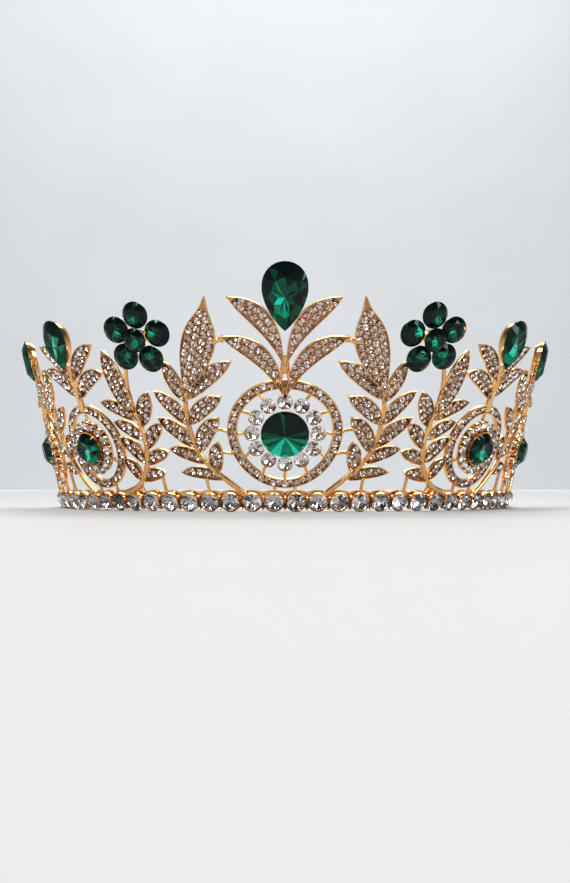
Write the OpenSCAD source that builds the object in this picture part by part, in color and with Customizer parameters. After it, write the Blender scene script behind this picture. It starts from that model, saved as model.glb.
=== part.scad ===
// Diadem with an openwork wall of leaves and set stones on a crystal band.
// Sizes are millimetres. X runs to the right, Y to the back and Z up. The band stands on Z = 0.

/* [Band] */
// Half of the band's width at its stones, ear to ear
band_half_w = 77; // [70:0.5:84]
// Depth of the band's oval, from its front to its widest place
band_depth = 72; // [66:0.5:78]
// Distance between the centres of two band stones
stone_pitch = 6.2; // [6:0.05:6.5]
// Diameter of a band stone
band_stone_d = 5.7; // [5:0.1:5.8]
// Height of the band's metal
band_h = 6; // [5.6:0.1:7]
// Thickness of the band's metal
band_t = 2; // [1.4:0.1:2.6]
// Diameter of the wire along the band's inner foot and of the free wires
wire_d = 1.7; // [1.4:0.1:2]

/* [Wall] */
// Lean of the wall to the front at its middle, in degrees
lean_front = 23.5; // [15:0.5:28]
// Lean of the wall to the front at its ends, in degrees
lean_end = 10; // [4:0.5:14]
// Outward flare half way round each side, in degrees
flare = 15.5; // [8:0.5:18]
// Angle round the oval from which the flare stays as it is, in degrees
flare_hold = 68; // [50:1:80]
// Thickness of the leaves and rings
plate_t = 1.3; // [1:0.05:1.8]
// Diameter of the stems
stem_d = 1.5; // [1.2:0.1:2]

/* [Middle motif] */
// Outer diameter of the round pave ring
ring_d = 32; // [30:0.5:34]
// Width of the pave in a ring
pave_w = 2.8; // [2.2:0.1:3.2]
// Height of the ring's centre above the stone row
ring_v = 20.3; // [19.5:0.1:21.5]
// Diameter of the round green stone
rivoli_d = 12.8; // [11.5:0.1:13]
// Diameter of the clear stones round it
ring_stone_d = 4; // [3.4:0.1:4.2]
// Width of the green drop on top
drop_w = 12.2; // [10:0.1:13]
// Height of the green drop on top
drop_h = 18.4; // [16:0.1:19]
// Height of the drop's middle above the stone row
drop_v = 59.4; // [58:0.1:62]

/* [Branches] */
// Height of the first branch beside the middle ring
branch_1_h = 59.5; // [54:0.5:62]
// Height of the second branch, which carries the flower
branch_2_h = 46.5; // [44:0.5:48]
// Height of the third branch
branch_3_h = 42.5; // [40:0.5:45]
// Height of the last branch at the end of the wall
branch_4_h = 43; // [40:0.5:45]
// Width of a common leaf
leaf_w = 4.8; // [4.3:0.1:5.2]
// Diameter of a flower's petal stones
petal_d = 6.5; // [5.8:0.1:6.8]
// Diameter of a flower's middle stone
flower_eye_d = 6; // [5.4:0.1:6.2]
// Height of the flower's middle above the stone row
flower_v = 49.2; // [48.5:0.1:50.5]
// Height of the flower's middle stone over its petals
flower_eye_lift = 1.2; // [1:0.1:2.4]

/* [Side motifs] */
// Width of the second motif's oval ring
oval_2_w = 24; // [22:0.2:25]
// Height of the second motif's oval ring
oval_2_h = 26.4; // [25:0.2:27.4]
// Width of the third motif's oval ring
oval_3_w = 20.6; // [19.6:0.2:21.6]
// Height of the third motif's oval ring
oval_3_h = 24.6; // [23.4:0.2:25.4]
// Height of the second motif, to the middle of its green drop
motif_2_h = 49.4; // [48:0.2:51]
// Height of the third motif, to the middle of its green drop
motif_3_h = 46.4; // [45:0.2:48]
// Size of the second motif's stones, width of the drop
drop_2_w = 10; // [9:0.1:10.4]
// Size of the third motif's stones, width of the drop
drop_3_w = 8.8; // [8:0.1:9.2]
// Width of the small green drop on the last branch
end_drop_w = 5.2; // [4.6:0.1:5.8]
// Diameter of the small clear stones round the oval ones
halo_stone_d = 2.6; // [2.1:0.05:2.7]

/* [Settings and loops] */
// Metal wall round a set stone
bezel_t = 0.4; // [0.3:0.05:0.6]
// Gap between a stone and its seat
stone_gap = 0.1; // [0.06:0.01:0.15]
// Width of the eye at the end of each free wire, inside
eye_w = 3.4; // [3:0.1:3.8]
// Height of that eye, inside
eye_h = 4.4; // [4:0.1:4.6]
// Distance of each eye from the middle plane
eye_x = 55; // [50:0.5:60]
// Distance of each eye behind the band's front
eye_y = 95; // [90:0.5:100]

/* [Hidden] */
SIDES = ["right", "left"];
PETALS = [1, 2, 3, 4, 5];

gold = "#D9A45B";
crystal = "#E6E9EE";
green = "#0B6B47";

stones_a_side = 19;
wire_sides = 5;
wire_r = wire_d / 2;
stem_r = stem_d / 2;
ring_r = ring_d / 2;
row_z = band_h / 2 * cos(lean_end);

// Ellipse of the stone row: arc length against angle from the front
function oval(t) = [band_half_w * sin(t), band_depth * (1 - cos(t))];
function arc_list(a, b, last) = [for (t = 0, run = 0; t <= last;
    run = run + norm([a * (sin(t + 1) - sin(t)), b * (cos(t + 1) - cos(t))]), t = t + 1) [run, t]];
arc_table = arc_list(band_half_w, band_depth, 130);
function angle_at(s) = sign(s) * lookup(abs(s), arc_table);

// The wall: s along the stone row, v up the wall, w out of it
function unit(p) = p / norm(p);
function lean_dir(t) = unit([tan(flare) * sin(2 * sign(t) * min(abs(t), flare_hold)),
    -tan(lean_end) - (tan(lean_front) - tan(lean_end)) * pow(cos(t), 2), 1]);
function skin(s, v) = let (t = angle_at(s), p = oval(t)) [p.x, p.y, row_z] + v * lean_dir(t);
function across(s, v) = unit(skin(s + 1, v) - skin(s - 1, v));
function stretch(s, v) = norm(skin(s + 1, v) - skin(s - 1, v)) / 2;
function out(s, v) = unit(cross(across(s, v), lean_dir(angle_at(s))));
function wall(s, v, w = 0) = skin(s, v) + w * out(s, v);

// A point x beside and y above the place [s, v], measured in the wall
function beside(place, x, y, w = 0) =
    wall(place.x + x / stretch(place.x, place.y), place.y + y, w);

// Sweep a closed ring of points through a list of rings
module loft(rings, loop = false) {
    n = len(rings[0]);
    m = len(rings);
    last = loop ? m - 1 : m - 2;
    walls = [for (i = [0:last], j = [0:n - 1])
        let (k = (i + 1) % m, l = (j + 1) % n)
        each [[i * n + j, k * n + l, i * n + l], [i * n + j, k * n + j, k * n + l]]];
    first_cap = [[for (j = [0:n - 1]) j]];
    last_cap = [[for (j = [n - 1:-1:0]) (m - 1) * n + j]];
    polyhedron(
        points = [for (r = rings) each r],
        faces = loop ? walls : concat(walls, first_cap, last_cap),
        convexity = 6);
}

// Round wire through points, each with its own radius
function heading(path, i) = unit(path[min(i + 1, len(path) - 1)] - path[max(i - 1, 0)]);
module wire(path, radii, sides = wire_sides, up = [0, 0, 1]) {
    loft([for (i = [0:len(path) - 1])
        let (h = heading(path, i), a = unit(cross(up, h)), b = cross(h, a))
        [for (j = [0:sides - 1]) path[i]
            + radii[i] * (cos(360 * j / sides) * a + sin(360 * j / sides) * b)]]);
}

// Square-edged stem along places [s, v] of the wall, r to each side
function course(places, i) = let (
    p = places[max(i - 1, 0)], q = places[min(i + 1, len(places) - 1)], m = places[i],
    run = [(q.x - p.x) * stretch(m.x, m.y), q.y - p.y]) [run.y, -run.x] / norm(run);
module stem(places, r0 = stem_r, r1 = stem_r, half_t = stem_r) {
    n = len(places);
    loft([for (i = [0:n - 1]) let (c = course(places, i), r = r0 + (r1 - r0) * i / (n - 1))
        [for (q = [[-1, -1], [-1, 1], [1, 1], [1, -1]])
            beside(places[i], q[0] * r * c.x, q[0] * r * c.y, q[1] * half_t)]]);
}

// Short post or spoke between two places of the wall, thinner than the plates
module post(from, to, r = stem_r * 0.8) {
    hull() stem([from, to], r, r, plate_t * 0.385);
}

// Leaf plate: share of its length against share of its half width
leaf_shape = [[0.24, 0.86], [0.72, 0.9]];
leaf_root = stem_r * 0.47;
module leaf(base, tip, width = leaf_w, bow = 0) {
    k = stretch((base.x + tip.x) / 2, (base.y + tip.y) / 2);
    run = [(tip.x - base.x) * k, tip.y - base.y];
    aside = [-run.y, run.x] / norm(run);
    function spot(u, side, w) = let (
        q = run * u + aside * (side * width / 2 + bow * norm(run) * 4 * u * (1 - u)))
        wall(base.x + q.x / k, base.y + q.y, w);
    left = [for (row = leaf_shape) [row[0], row[1]]];
    right = [for (i = [len(leaf_shape) - 1:-1:0]) [leaf_shape[i][0], -leaf_shape[i][1]]];
    edge = concat([[-leaf_root / norm(run), 0]], left, [[1, 0]], right);
    loft([for (w = [plate_t / 2, -plate_t / 2]) [for (e = edge) spot(e[0], e[1], w)]]);
}

// Flat oval band of metal in the wall, round a place
module oval_band(place, a, b, width, sides, w0 = -plate_t / 2, w1 = plate_t / 2) {
    loft([for (i = [0:sides - 1]) let (t = 360 * i / sides)
        [for (q = [[0, w0], [-width, w0], [-width, w1], [0, w1]])
            beside(place, (a + q[0]) * cos(t), (b + q[0]) * sin(t), q[1])]], loop = true);
}

// Outlines of stones, widest a to each side and b up and down
pear_power = 0.75;
pear_peak = 0.812;
function round_outline(a, b, sides) =
    [for (i = [0:sides - 1]) let (t = 360 * (i + 0.5) / sides) [a * cos(t), b * sin(t)]];
function pear_outline(a, b, sides) =
    [for (i = [0:sides - 1]) let (t = 360 * i / sides)
        [a / pear_peak * sin(t) * pow(sin(t / 2), pear_power), -b * cos(t)]];
function outline(pear, a, b, sides) = pear ? pear_outline(a, b, sides) : round_outline(a, b, sides);

// Rigid frame on the wall at a place, turned by roll degrees, w out of it
module seat(place, w = 0, roll = 0) {
    a = across(place.x, place.y);
    n = out(place.x, place.y);
    u = cross(n, a);
    o = wall(place.x, place.y, w);
    multmatrix([[a.x, u.x, n.x, o.x], [a.y, u.y, n.y, o.y], [a.z, u.z, n.z, o.z], [0, 0, 0, 1]])
        rotate(roll) children();
}

function flat_ring(points, share, z) = [for (p = points) [p.x * share, p.y * share, z]];

// Cut stone on its point, with a crown and a table
module cut_stone(points, back_h, crown_h, table = 0.58) {
    hull() polyhedron(
        points = concat([[0, 0, 0]], flat_ring(points, 1, back_h),
            flat_ring(points, table, back_h + crown_h)),
        faces = [[for (i = [0:2 * len(points)]) i]]);
}

// Metal cup whose rim is level with the stone's girdle; foot is the share of its size at the bottom
module cup(pear, a, b, sides, floor_h, rim_h, foot = 1) {
    inner = outline(pear, a + stone_gap, b + stone_gap, sides);
    outer = outline(pear, a + stone_gap + bezel_t, b + stone_gap + bezel_t, sides);
    loft([flat_ring(outer, foot, 0), flat_ring(outer, 1, rim_h), flat_ring(inner, 1, rim_h),
        flat_ring(inner, foot, floor_h)]);
}

// The green stones: pear, half width, half height, facets round, then the heights of back and
// crown and the table as shares of the half width
cup_floor = plate_t * 0.54;
function gem_pear(g) = g[0];
function gem_a(g) = g[1];
function gem_b(g) = g[2];
function gem_sides(g) = g[3];
function gem_back(g) = g[4] * g[1];
function gem_crown(g) = g[5] * g[1];
function gem_table(g) = g[6];
module gem(g) {
    translate([0, 0, cup_floor + stone_gap])
        cut_stone(outline(gem_pear(g), gem_a(g), gem_b(g), gem_sides(g)),
            gem_back(g), gem_crown(g), gem_table(g));
}
module gem_cup(g, foot = 1) {
    cup(gem_pear(g), gem_a(g), gem_b(g), gem_sides(g), cup_floor,
        cup_floor + stone_gap + gem_back(g), foot);
}

drop_ratio = 1.48;
gap_w = pave_w * 0.38;
third = 0.86;
cup_w = -plate_t / 2;
lap = bezel_t;
ring_foot = ring_v - ring_r;
post_foot_v = band_h * 0.383;
rivoli = [false, rivoli_d / 2, rivoli_d / 2, 14, 0.34, 0.32, 0.2];
drop_1 = [true, drop_w / 2, drop_h / 2, 14, 0.36, 0.31, 0.6];
drop_2 = [true, drop_2_w / 2, drop_2_w * drop_ratio / 2, 12, 0.38, 0.32, 0.6];
drop_3 = [true, drop_3_w / 2, drop_3_w * drop_ratio / 2, 12, 0.4, 0.34, 0.6];
end_drop = [true, end_drop_w / 2, end_drop_w * 0.81, 8, 0.5, 0.42, 0.6];
petal = [false, petal_d / 2, petal_d / 2, 8, 0.46, 0.37, 0.6];
flower_eye = [false, flower_eye_d / 2, flower_eye_d / 2, 8, 0.6, 0.43, 0.6];

// Metal left round the oval stone for its cup, the halo and the open gap
halo_edge = halo_stone_d * 0.08;
function halo_w(k) = halo_stone_d * k + 2 * halo_edge;
function oval_inset(k) = pave_w * k + gap_w * k + halo_w(k) + stone_gap + bezel_t;
function oval_gem(w, h, k, back) = let (a = w / 2 - oval_inset(k))
    [false, a, a * h / w, 12, back, 0.42, 0.6];
oval_2 = oval_gem(oval_2_w, oval_2_h, 1, 0.5);
oval_3 = oval_gem(oval_3_w, oval_3_h, third, 0.53);

// Places [s, v]; positions along the band are counted in stone pitches
function at(q, v) = [q * stone_pitch, v];
middle_place = [0, ring_v];
rivoli_place = [0, ring_v + ring_r * 0.05];
drop_place = [0, drop_v];
flower_place = at(5.05, flower_v);
oval_2_place = at(9.1, ring_foot + oval_2_h / 2);
drop_2_place = at(9.1, motif_2_h);
oval_3_place = at(14.4, ring_foot + oval_3_h / 2);
drop_3_place = at(14.4, motif_3_h);
end_place = at(17.24, branch_4_h + end_drop_w * 0.81);
flower_roll = 98;
petal_ring_r = flower_eye_d * 0.56 + petal_d / 2;
flower_base_r = flower_eye_d * 0.61;
flower_eye_w = cup_w + flower_eye_lift;
flower_eye_foot = 0.62;
middle_stones = 12;
middle_stone_ring_r = rivoli_d / 2 + ring_stone_d * 0.55 + stone_gap + bezel_t;

// Branch tables: along the band in stone pitches, up in shares of the branch's height
stem_1 = [[1.82, 0.04], [2.42, 0.1], [2.98, 0.156], [3.47, 0.227], [3.75, 0.32], [3.8, 0.47],
    [3.58, 0.605]];
stem_2 = [[7.86, 0.059], [7.1, 0.097], [6.5, 0.176], [6.13, 0.28], [5.98, 0.387], [6.02, 0.516],
    [6.13, 0.613], [6.15, 0.753], [5.93, 0.905]];
stem_3 = [[10.21, 0.058], [10.81, 0.148], [11.37, 0.26], [11.81, 0.41], [12.02, 0.59], [11.97, 0.73]];
stem_4 = [[16.26, 0.058], [16.77, 0.21], [17.1, 0.39], [17.24, 0.61], [17.24, 1]];

// Leaf rows: base up its stem, tip along, tip up, width in common leaf widths, bow
leaves_1 = [
    [0.57, 2.5, 1, 1.93, 0.04],
    [0.52, 1.82, 0.697, 1.05, -0.04],
    [0.4, 2.32, 0.53, 1.05, -0.06],
    [0.255, 2.52, 0.43, 1.05, -0.08],
    [0.148, 2.73, 0.308, 0.9, -0.05],
    [0.51, 4.32, 0.71, 0.9, -0.04],
    [0.395, 4.97, 0.568, 0.9, 0.02],
    [0.282, 5.08, 0.437, 0.95, 0.02],
    [0.205, 4.87, 0.279, 0.85, 0.04],
    [0.121, 4.55, 0.156, 0.8, 0.06]];
leaves_2 = [
    [0.59, 6.87, 0.996, 1.28, -0.05],
    [0.495, 5.32, 0.72, 1.05, 0],
    [0.55, 7.74, 0.673, 0.9, 0.04],
    [0.42, 7.31, 0.542, 0.9, 0.04],
    [0.262, 7.24, 0.44, 0.95, 0.04],
    [0.15, 7.35, 0.3, 0.85, 0.03],
    [0.355, 4.98, 0.52, 0.9, -0.04],
    [0.258, 4.92, 0.335, 0.85, -0.05],
    [0.15, 5.32, 0.198, 0.85, -0.05]];
leaves_3 = [
    [0.69, 11.75, 0.995, 1.3, 0],
    [0.61, 13.2, 0.79, 0.95, 0.04],
    [0.47, 12.8, 0.6, 0.9, 0.04],
    [0.35, 12.7, 0.435, 0.9, 0.04],
    [0.22, 12.58, 0.266, 0.85, 0.05],
    [0.53, 10.8, 0.713, 0.95, -0.04],
    [0.31, 11.15, 0.505, 0.9, -0.03]];
leaves_4 = [
    [0.76, 18.15, 0.97, 0.9, 0.04],
    [0.56, 18.27, 0.74, 0.9, 0.04],
    [0.35, 18.2, 0.5, 0.9, 0.05],
    [0.2, 18.06, 0.26, 0.85, 0.05],
    [0.76, 16.4, 0.955, 0.85, -0.04],
    [0.5, 16.34, 0.68, 0.8, -0.04]];

// Spray rows above a ring: base and tip beside it in half ring widths, up in shares of the motif
spray_1 = [
    [0.03, 0.69, 0.97, 0.997, 1.17, 0.12],
    [0.03, 0.55, 1.09, 0.815, 1.12, 0.14]];
spray_2 = [
    [-0.06, 0.78, -1.02, 0.978, 1.05, -0.08],
    [0.06, 0.79, 1.15, 0.998, 0.98, 0.08],
    [-0.05, 0.66, -1.13, 0.81, 1.05, -0.12],
    [0.06, 0.68, 1.2, 0.85, 1, 0.1]];

// Posts from the band to the branches: along at the foot and at the head in stone pitches, up in
// shares of the branch's height, and that height
band_posts = [
    [3.45, 3.45, 0.125, branch_1_h],
    [5.6, 5.6, 0.17, branch_2_h],
    [12.45, 12.4, 0.25, branch_3_h],
    [17.7, 17.75, 0.25, branch_4_h]];

// Ties from the middle ring to the first branch: beside and above the ring's middle in half ring
// widths, then along in stone pitches and above the ring's middle in half ring widths
ring_ties = [
    [0.87, 0.06, 2.75, 0.11],
    [0.83, -0.34, 2.7, -0.33]];

// Free wire behind the band: shares of the way from the band to the eye, across and back
free_wire = [[0.3, 0.26], [0.57, 0.55], [0.82, 0.8]];

// Band metal, scalloped: along in stone pitches, half height as a share
scallops = [[0, 0.68], [0.24, 1], [0.76, 1]];
module band_metal() {
    rows = [for (i = [-stones_a_side:stones_a_side - 1], c = scallops) [i + c[0], c[1]]];
    loft([for (row = concat(rows, [[stones_a_side, scallops[0][1]]]))
        [for (q = [[-1, -band_t], [1, -band_t], [1, 0], [-1, 0]])
            wall(row[0] * stone_pitch, q[0] * row[1] * band_h / 2, q[1])]]);
}

// Inner wire, soldered to the band here and there, the free wire behind it and its eye
wire_v = -band_h / 2 + wire_r * 1.12;
wire_w = -band_t - wire_r * 1.12;
wire_end_q = stones_a_side - 1.8;
solder_q = [5.5, 11.5];
eye_turn = 40;
eye_z = eye_h / 2 + wire_d;
eye_sides = 8;
module solder(q) {
    seat(at(q, wire_v), -band_t - wire_r / 2) cube([wire_d, wire_d * 0.7, wire_d], center = true);
}
module foot_wire() {
    leave = wall(wire_end_q * stone_pitch, wire_v, wire_w);
    eye = [eye_x, eye_y, eye_z];
    along_x = [cos(eye_turn), -sin(eye_turn), 0];
    dock = eye + (eye_w / 2 + wire_r) * along_x;
    inner = [for (i = [0:3.2:wire_end_q - 1]) wall(i * stone_pitch, wire_v, wire_w)];
    free = [for (f = free_wire) [leave.x + (dock.x - leave.x) * f[0],
        leave.y + (dock.y - leave.y) * f[1], leave.z + (dock.z - leave.z) * f[1]]];
    path = concat(inner, [leave], free, [dock]);
    wire(path, [for (p = path) wire_r]);
    for (q = concat(solder_q, [wire_end_q])) solder(q);
    eye_ring(eye, along_x);
}
module eye_ring(centre, along_x) {
    normal = cross(along_x, [0, 0, 1]);
    loft([for (i = [0:eye_sides - 1]) let (t = 360 * i / eye_sides,
        radial = [cos(t) * along_x.x, cos(t) * along_x.y, sin(t)],
        middle = centre + (eye_w / 2 + wire_r) * cos(t) * along_x
            + (eye_h / 2 + wire_r) * sin(t) * [0, 0, 1])
        [for (j = [0:wire_sides - 1]) let (f = 360 * j / wire_sides + 90)
            middle + wire_r * (sin(f) * radial + cos(f) * normal)]], loop = true);
}

function stem_along(stem_rows, up) = lookup(up, [for (p = stem_rows) [p[1], p[0]]]);
module branch(stem_rows, leaf_rows, h, r0, r1) {
    stem([for (p = stem_rows) at(p[0], p[1] * h)], r0, r1);
    for (p = leaf_rows)
        leaf(at(stem_along(stem_rows, p[0]), p[0] * h), at(p[1], p[2] * h), p[3] * leaf_w, p[4]);
}

module spray(place, rows, half_w, h) {
    function spot(x, v) = [place.x + x * half_w / stretch(place.x, v), v];
    for (p = rows)
        leaf(spot(p[0], p[1] * h), spot(p[2], p[3] * h), p[4] * leaf_w, p[5]);
}

// Oval plate for a halo of small stones, with the cup of the stone in its middle
module halo_cup(g, k) {
    wall_a = stone_gap + bezel_t;
    rim_h = cup_floor + stone_gap + gem_back(g);
    function ring(d, z) = flat_ring(
        outline(gem_pear(g), gem_a(g) + d, gem_b(g) + d, gem_sides(g)), 1, z);
    loft([ring(wall_a + halo_w(k), 0), ring(wall_a + halo_w(k), plate_t), ring(wall_a, plate_t),
        ring(wall_a, rim_h), ring(stone_gap, rim_h), ring(stone_gap, cup_floor)]);
}

// Oval pave ring with its halo and the posts that join them
module oval_setting(place, a, b, g, k, sides, feet) {
    halo_a = gem_a(g) + stone_gap + bezel_t + halo_w(k);
    halo_b = gem_b(g) + stone_gap + bezel_t + halo_w(k);
    file_a = a - pave_w * k / 2;
    file_b = b - pave_w * k / 2;
    k_x = stretch(place.x, place.y);
    oval_band(place, a, b, pave_w * k, sides);
    seat(place, cup_w) halo_cup(g, k);
    for (t = [90:120:330])
        post([place.x + (halo_a - lap) * cos(t) / k_x, place.y + (halo_b - lap) * sin(t)],
            [place.x + file_a * cos(t) / k_x, place.y + file_b * sin(t)]);
    for (q = feet) {
        x = (q * stone_pitch - place.x) * k_x;
        post(at(q, post_foot_v), at(q, place.y - file_b * sqrt(1 - pow(x / a, 2))));
    }
}

// Round clear stones in an even row along an oval round a place
module stone_oval(place, a, b, d, spacing) {
    table = arc_list(a, b, 360);
    run = table[360][0];
    count = floor(run / spacing);
    for (i = [0:count - 1]) {
        t = lookup(run * i / count, table);
        seat(place, plate_t / 2 + stone_gap) translate([a * sin(t), b * cos(t)])
            cut_stone(round_outline(d / 2, d / 2, 6), d * 0.18, d * 0.2);
    }
}
module halo(place, g, k) {
    r = stone_gap + bezel_t + halo_edge + halo_stone_d * k / 2;
    stone_oval(place, gem_a(g) + r, gem_b(g) + r, halo_stone_d * k, halo_stone_d * (k + 0.085));
}

// Scalloped plate under the twelve stones round the middle one
module middle_halo_plate() {
    inner_r = rivoli_d / 2 + stone_gap + bezel_t / 2;
    n = 2 * middle_stones;
    loft([for (i = [0:n - 1])
        let (t = 360 * i / n + 90, r = middle_stone_ring_r + ring_stone_d * (i % 2 == 0 ? 0.56 : 0.26))
        [for (q = [[r, -1], [inner_r, -1], [inner_r, 1], [r, 1]])
            beside(rivoli_place, q[0] * cos(t), q[0] * sin(t), q[1] * plate_t / 2)]], loop = true);
}

module middle_metal() {
    spoke_in = middle_stone_ring_r + ring_stone_d * 0.4;
    spoke_out = ring_r - pave_w / 2;
    k = stretch(0, ring_v);
    oval_band(middle_place, ring_r, ring_r, pave_w, 20);
    seat(rivoli_place, cup_w) gem_cup(rivoli);
    seat(drop_place, cup_w) gem_cup(drop_1);
    middle_halo_plate();
    for (t = [0:60:300])
        post([spoke_in * cos(t) / k, rivoli_place.y + spoke_in * sin(t)],
            [spoke_out * cos(t) / k, middle_place.y + spoke_out * sin(t)]);
}

// All that repeats on both sides, drawn for the right
module right_metal() {
    spray(middle_place, spray_1, ring_r, drop_v);
    post([stem_r * 1.1, ring_v + ring_r - pave_w], [stem_r * 0.4, 0.71 * drop_v], stem_r * 0.5);
    branch(stem_1, leaves_1, branch_1_h, stem_r, stem_r * 0.8);
    branch(stem_2, leaves_2, branch_2_h, stem_r * 1.2, stem_r * 0.7);
    branch(stem_3, leaves_3, branch_3_h, stem_r * 1.1, stem_r * 0.8);
    branch(stem_4, leaves_4, branch_4_h, stem_r, stem_r * 0.8);
    oval_setting(oval_2_place, oval_2_w / 2, oval_2_h / 2, oval_2, 1, 16, [8.5, 9.7]);
    oval_setting(oval_3_place, oval_3_w / 2, oval_3_h / 2, oval_3, third, 14, [13.7, 15.3]);
    spray(oval_2_place, spray_2, oval_2_w / 2, motif_2_h);
    spray(oval_3_place, spray_2, oval_3_w / 2, motif_3_h);
    for (m = [[oval_2_place, drop_2_place, drop_2], [oval_3_place, drop_3_place, drop_3]]) {
        stem([[m[0].x, m[1].y * 0.58], [m[1].x, m[1].y * 0.7],
            [m[1].x, m[1].y - gem_b(m[2]) + lap]], stem_r * 1.2, stem_r);
        seat(m[1], cup_w) gem_cup(m[2]);
    }
    seat(end_place, cup_w) gem_cup(end_drop);
    seat(flower_place, flower_eye_w) gem_cup(flower_eye, flower_eye_foot);
    seat(flower_place, cup_w)
        cylinder(r1 = flower_base_r, r2 = flower_base_r * 0.36,
            h = flower_eye_lift + cup_floor / 2, $fn = 8);
    for (i = PETALS)
        seat(flower_place, cup_w, flower_roll - 72 * (i - 1))
            translate([petal_ring_r, 0]) gem_cup(petal);
    post(at(0.45, post_foot_v), at(0.45, ring_foot + pave_w / 2));
    for (p = band_posts)
        post(at(p[0], post_foot_v), at(p[1], p[2] * p[3]));
    for (p = ring_ties)
        post([ring_r * p[0], ring_v + ring_r * p[1]], at(p[2], ring_v + ring_r * p[3]));
    post([ring_r * 0.79, 0.812 * drop_v], at(2.45, 0.798 * branch_1_h));
    post([ring_r * 0.34, drop_v - drop_h * 0.56], [drop_w * 0.12, drop_v - drop_h * 0.38]);
    foot_wire();
}

// The origin lies under the middle of the whole diadem
front_y = wall(0, drop_v + gem_b(drop_1) * gem_table(drop_1),
    cup_w + cup_floor + stone_gap + gem_back(drop_1) + gem_crown(drop_1)).y;
rear_y = eye_y + sin(eye_turn) * (eye_w / 2 + wire_r) + wire_r;
module centred() {
    translate([0, -(front_y + rear_y) / 2, 0]) children();
}

module on_side(side) {
    centred() mirror([side == "left" ? 1 : 0, 0, 0]) children();
}

module frame() {
    color(gold) centred() union() {
        band_metal();
        middle_metal();
        right_metal();
        mirror([1, 0, 0]) right_metal();
    }
}

band_stone_r = band_stone_d / 2;
module band_stones() {
    color(crystal) centred() for (i = [-stones_a_side:stones_a_side - 1])
        seat(at(i + 0.5, 0), stone_gap)
            cut_stone(round_outline(band_stone_r, band_stone_r, 8),
                band_stone_r * 0.28, band_stone_r * 0.32);
}

module middle_ring_stones() {
    color(crystal) centred() for (i = [0:middle_stones - 1])
        seat(rivoli_place, plate_t / 2 + stone_gap, 360 * i / middle_stones + 90)
            translate([middle_stone_ring_r, 0])
                cut_stone(round_outline(ring_stone_d / 2, ring_stone_d / 2, 8),
                    ring_stone_d * 0.15, ring_stone_d * 0.17);
}

module green_gem(place, g, side = "right") {
    color(green) on_side(side) seat(place, cup_w) gem(g);
}
module side_halo(place, g, k, side) {
    color(crystal) on_side(side) halo(place, g, k);
}
module flower_middle(side) {
    color(green) on_side(side) seat(flower_place, flower_eye_w) gem(flower_eye);
}
module flower_petal(i, side) {
    color(green) on_side(side) seat(flower_place, cup_w, flower_roll - 72 * (i - 1))
        translate([petal_ring_r, 0]) gem(petal);
}

frame();
band_stones();
green_gem(rivoli_place, rivoli);  // middle_rivoli
green_gem(drop_place, drop_1);  // middle_drop
middle_ring_stones();
for (side = SIDES) {
    side_halo(oval_2_place, oval_2, 1, side);
    side_halo(oval_3_place, oval_3, third, side);
    green_gem(drop_2_place, drop_2, side);
    green_gem(oval_2_place, oval_2, side);
    green_gem(drop_3_place, drop_3, side);
    green_gem(oval_3_place, oval_3, side);
    green_gem(end_place, end_drop, side);
    flower_middle(side);
    for (i = PETALS)
        flower_petal(i, side);
}
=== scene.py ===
"""Looks of the diadem: floor, light and camera, then its metal, its cut stones and its small pave."""
import math
from collections import namedtuple
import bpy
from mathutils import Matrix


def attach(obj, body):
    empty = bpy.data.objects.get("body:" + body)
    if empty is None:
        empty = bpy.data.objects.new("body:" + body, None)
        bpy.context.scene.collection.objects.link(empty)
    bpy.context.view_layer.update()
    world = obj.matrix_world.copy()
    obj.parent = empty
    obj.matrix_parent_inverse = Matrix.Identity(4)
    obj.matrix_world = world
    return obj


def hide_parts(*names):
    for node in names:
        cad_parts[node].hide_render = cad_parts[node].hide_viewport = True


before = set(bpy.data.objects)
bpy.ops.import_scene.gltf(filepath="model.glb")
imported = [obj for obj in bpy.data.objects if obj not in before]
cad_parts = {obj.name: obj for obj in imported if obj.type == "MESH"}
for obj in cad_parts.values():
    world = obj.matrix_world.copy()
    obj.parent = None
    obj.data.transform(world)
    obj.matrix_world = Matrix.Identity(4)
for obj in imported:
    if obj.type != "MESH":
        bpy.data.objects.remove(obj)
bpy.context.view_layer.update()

from types import SimpleNamespace

import bmesh
import bpy
import numpy as np
from mathutils import Vector

MM = 0.001
SEED = 7

# Driving sizes, in millimetres and degrees, as in the frame
BAND_HALF_W = 77
BAND_DEPTH = 72
PITCH = 6.2
BAND_STONE_D = 5.7
BAND_H = 6
BAND_T = 2
WIRE_R = 0.85
LEAN_FRONT = 23.5
LEAN_END = 10
FLARE = 15.5
FLARE_HOLD = 68
PLATE_T = 1.3
STEM_R = 0.75
RING_R = 16
PAVE_W = 2.8
RING_V = 20.3
RIVOLI_R = 6.4
RING_STONE_D = 4
DROP_W = 12.2
DROP_H = 18.4
DROP_V = 59.4
LEAF_W = 4.8
PETAL_D = 6.5
EYE_D = 6
FLOWER_V = 49.2
EYE_LIFT = 1.2
HALO_D = 2.6
BEZEL_T = 0.4
STONE_GAP = 0.1
BRANCH_H = {1: 59.5, 2: 46.5, 3: 42.5, 4: 43}
SMALL = 0.86
STONES_A_SIDE = 19
STONES = range(-STONES_A_SIDE, STONES_A_SIDE)
ROW_Z = BAND_H / 2 * math.cos(math.radians(LEAN_END))


# The wall: s along the stone row, v up the wall, w out of it, all in millimetres
def sin_deg(t):
    return np.sin(np.radians(t))


def cos_deg(t):
    return np.cos(np.radians(t))


def tan_deg(t):
    return math.tan(math.radians(t))


def circle(n):
    """Angles of n even steps round a circle, in radians."""
    return np.arange(n) * 2 * math.pi / n


def unit(p):
    return p / np.linalg.norm(p, axis=-1, keepdims=True)


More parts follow.
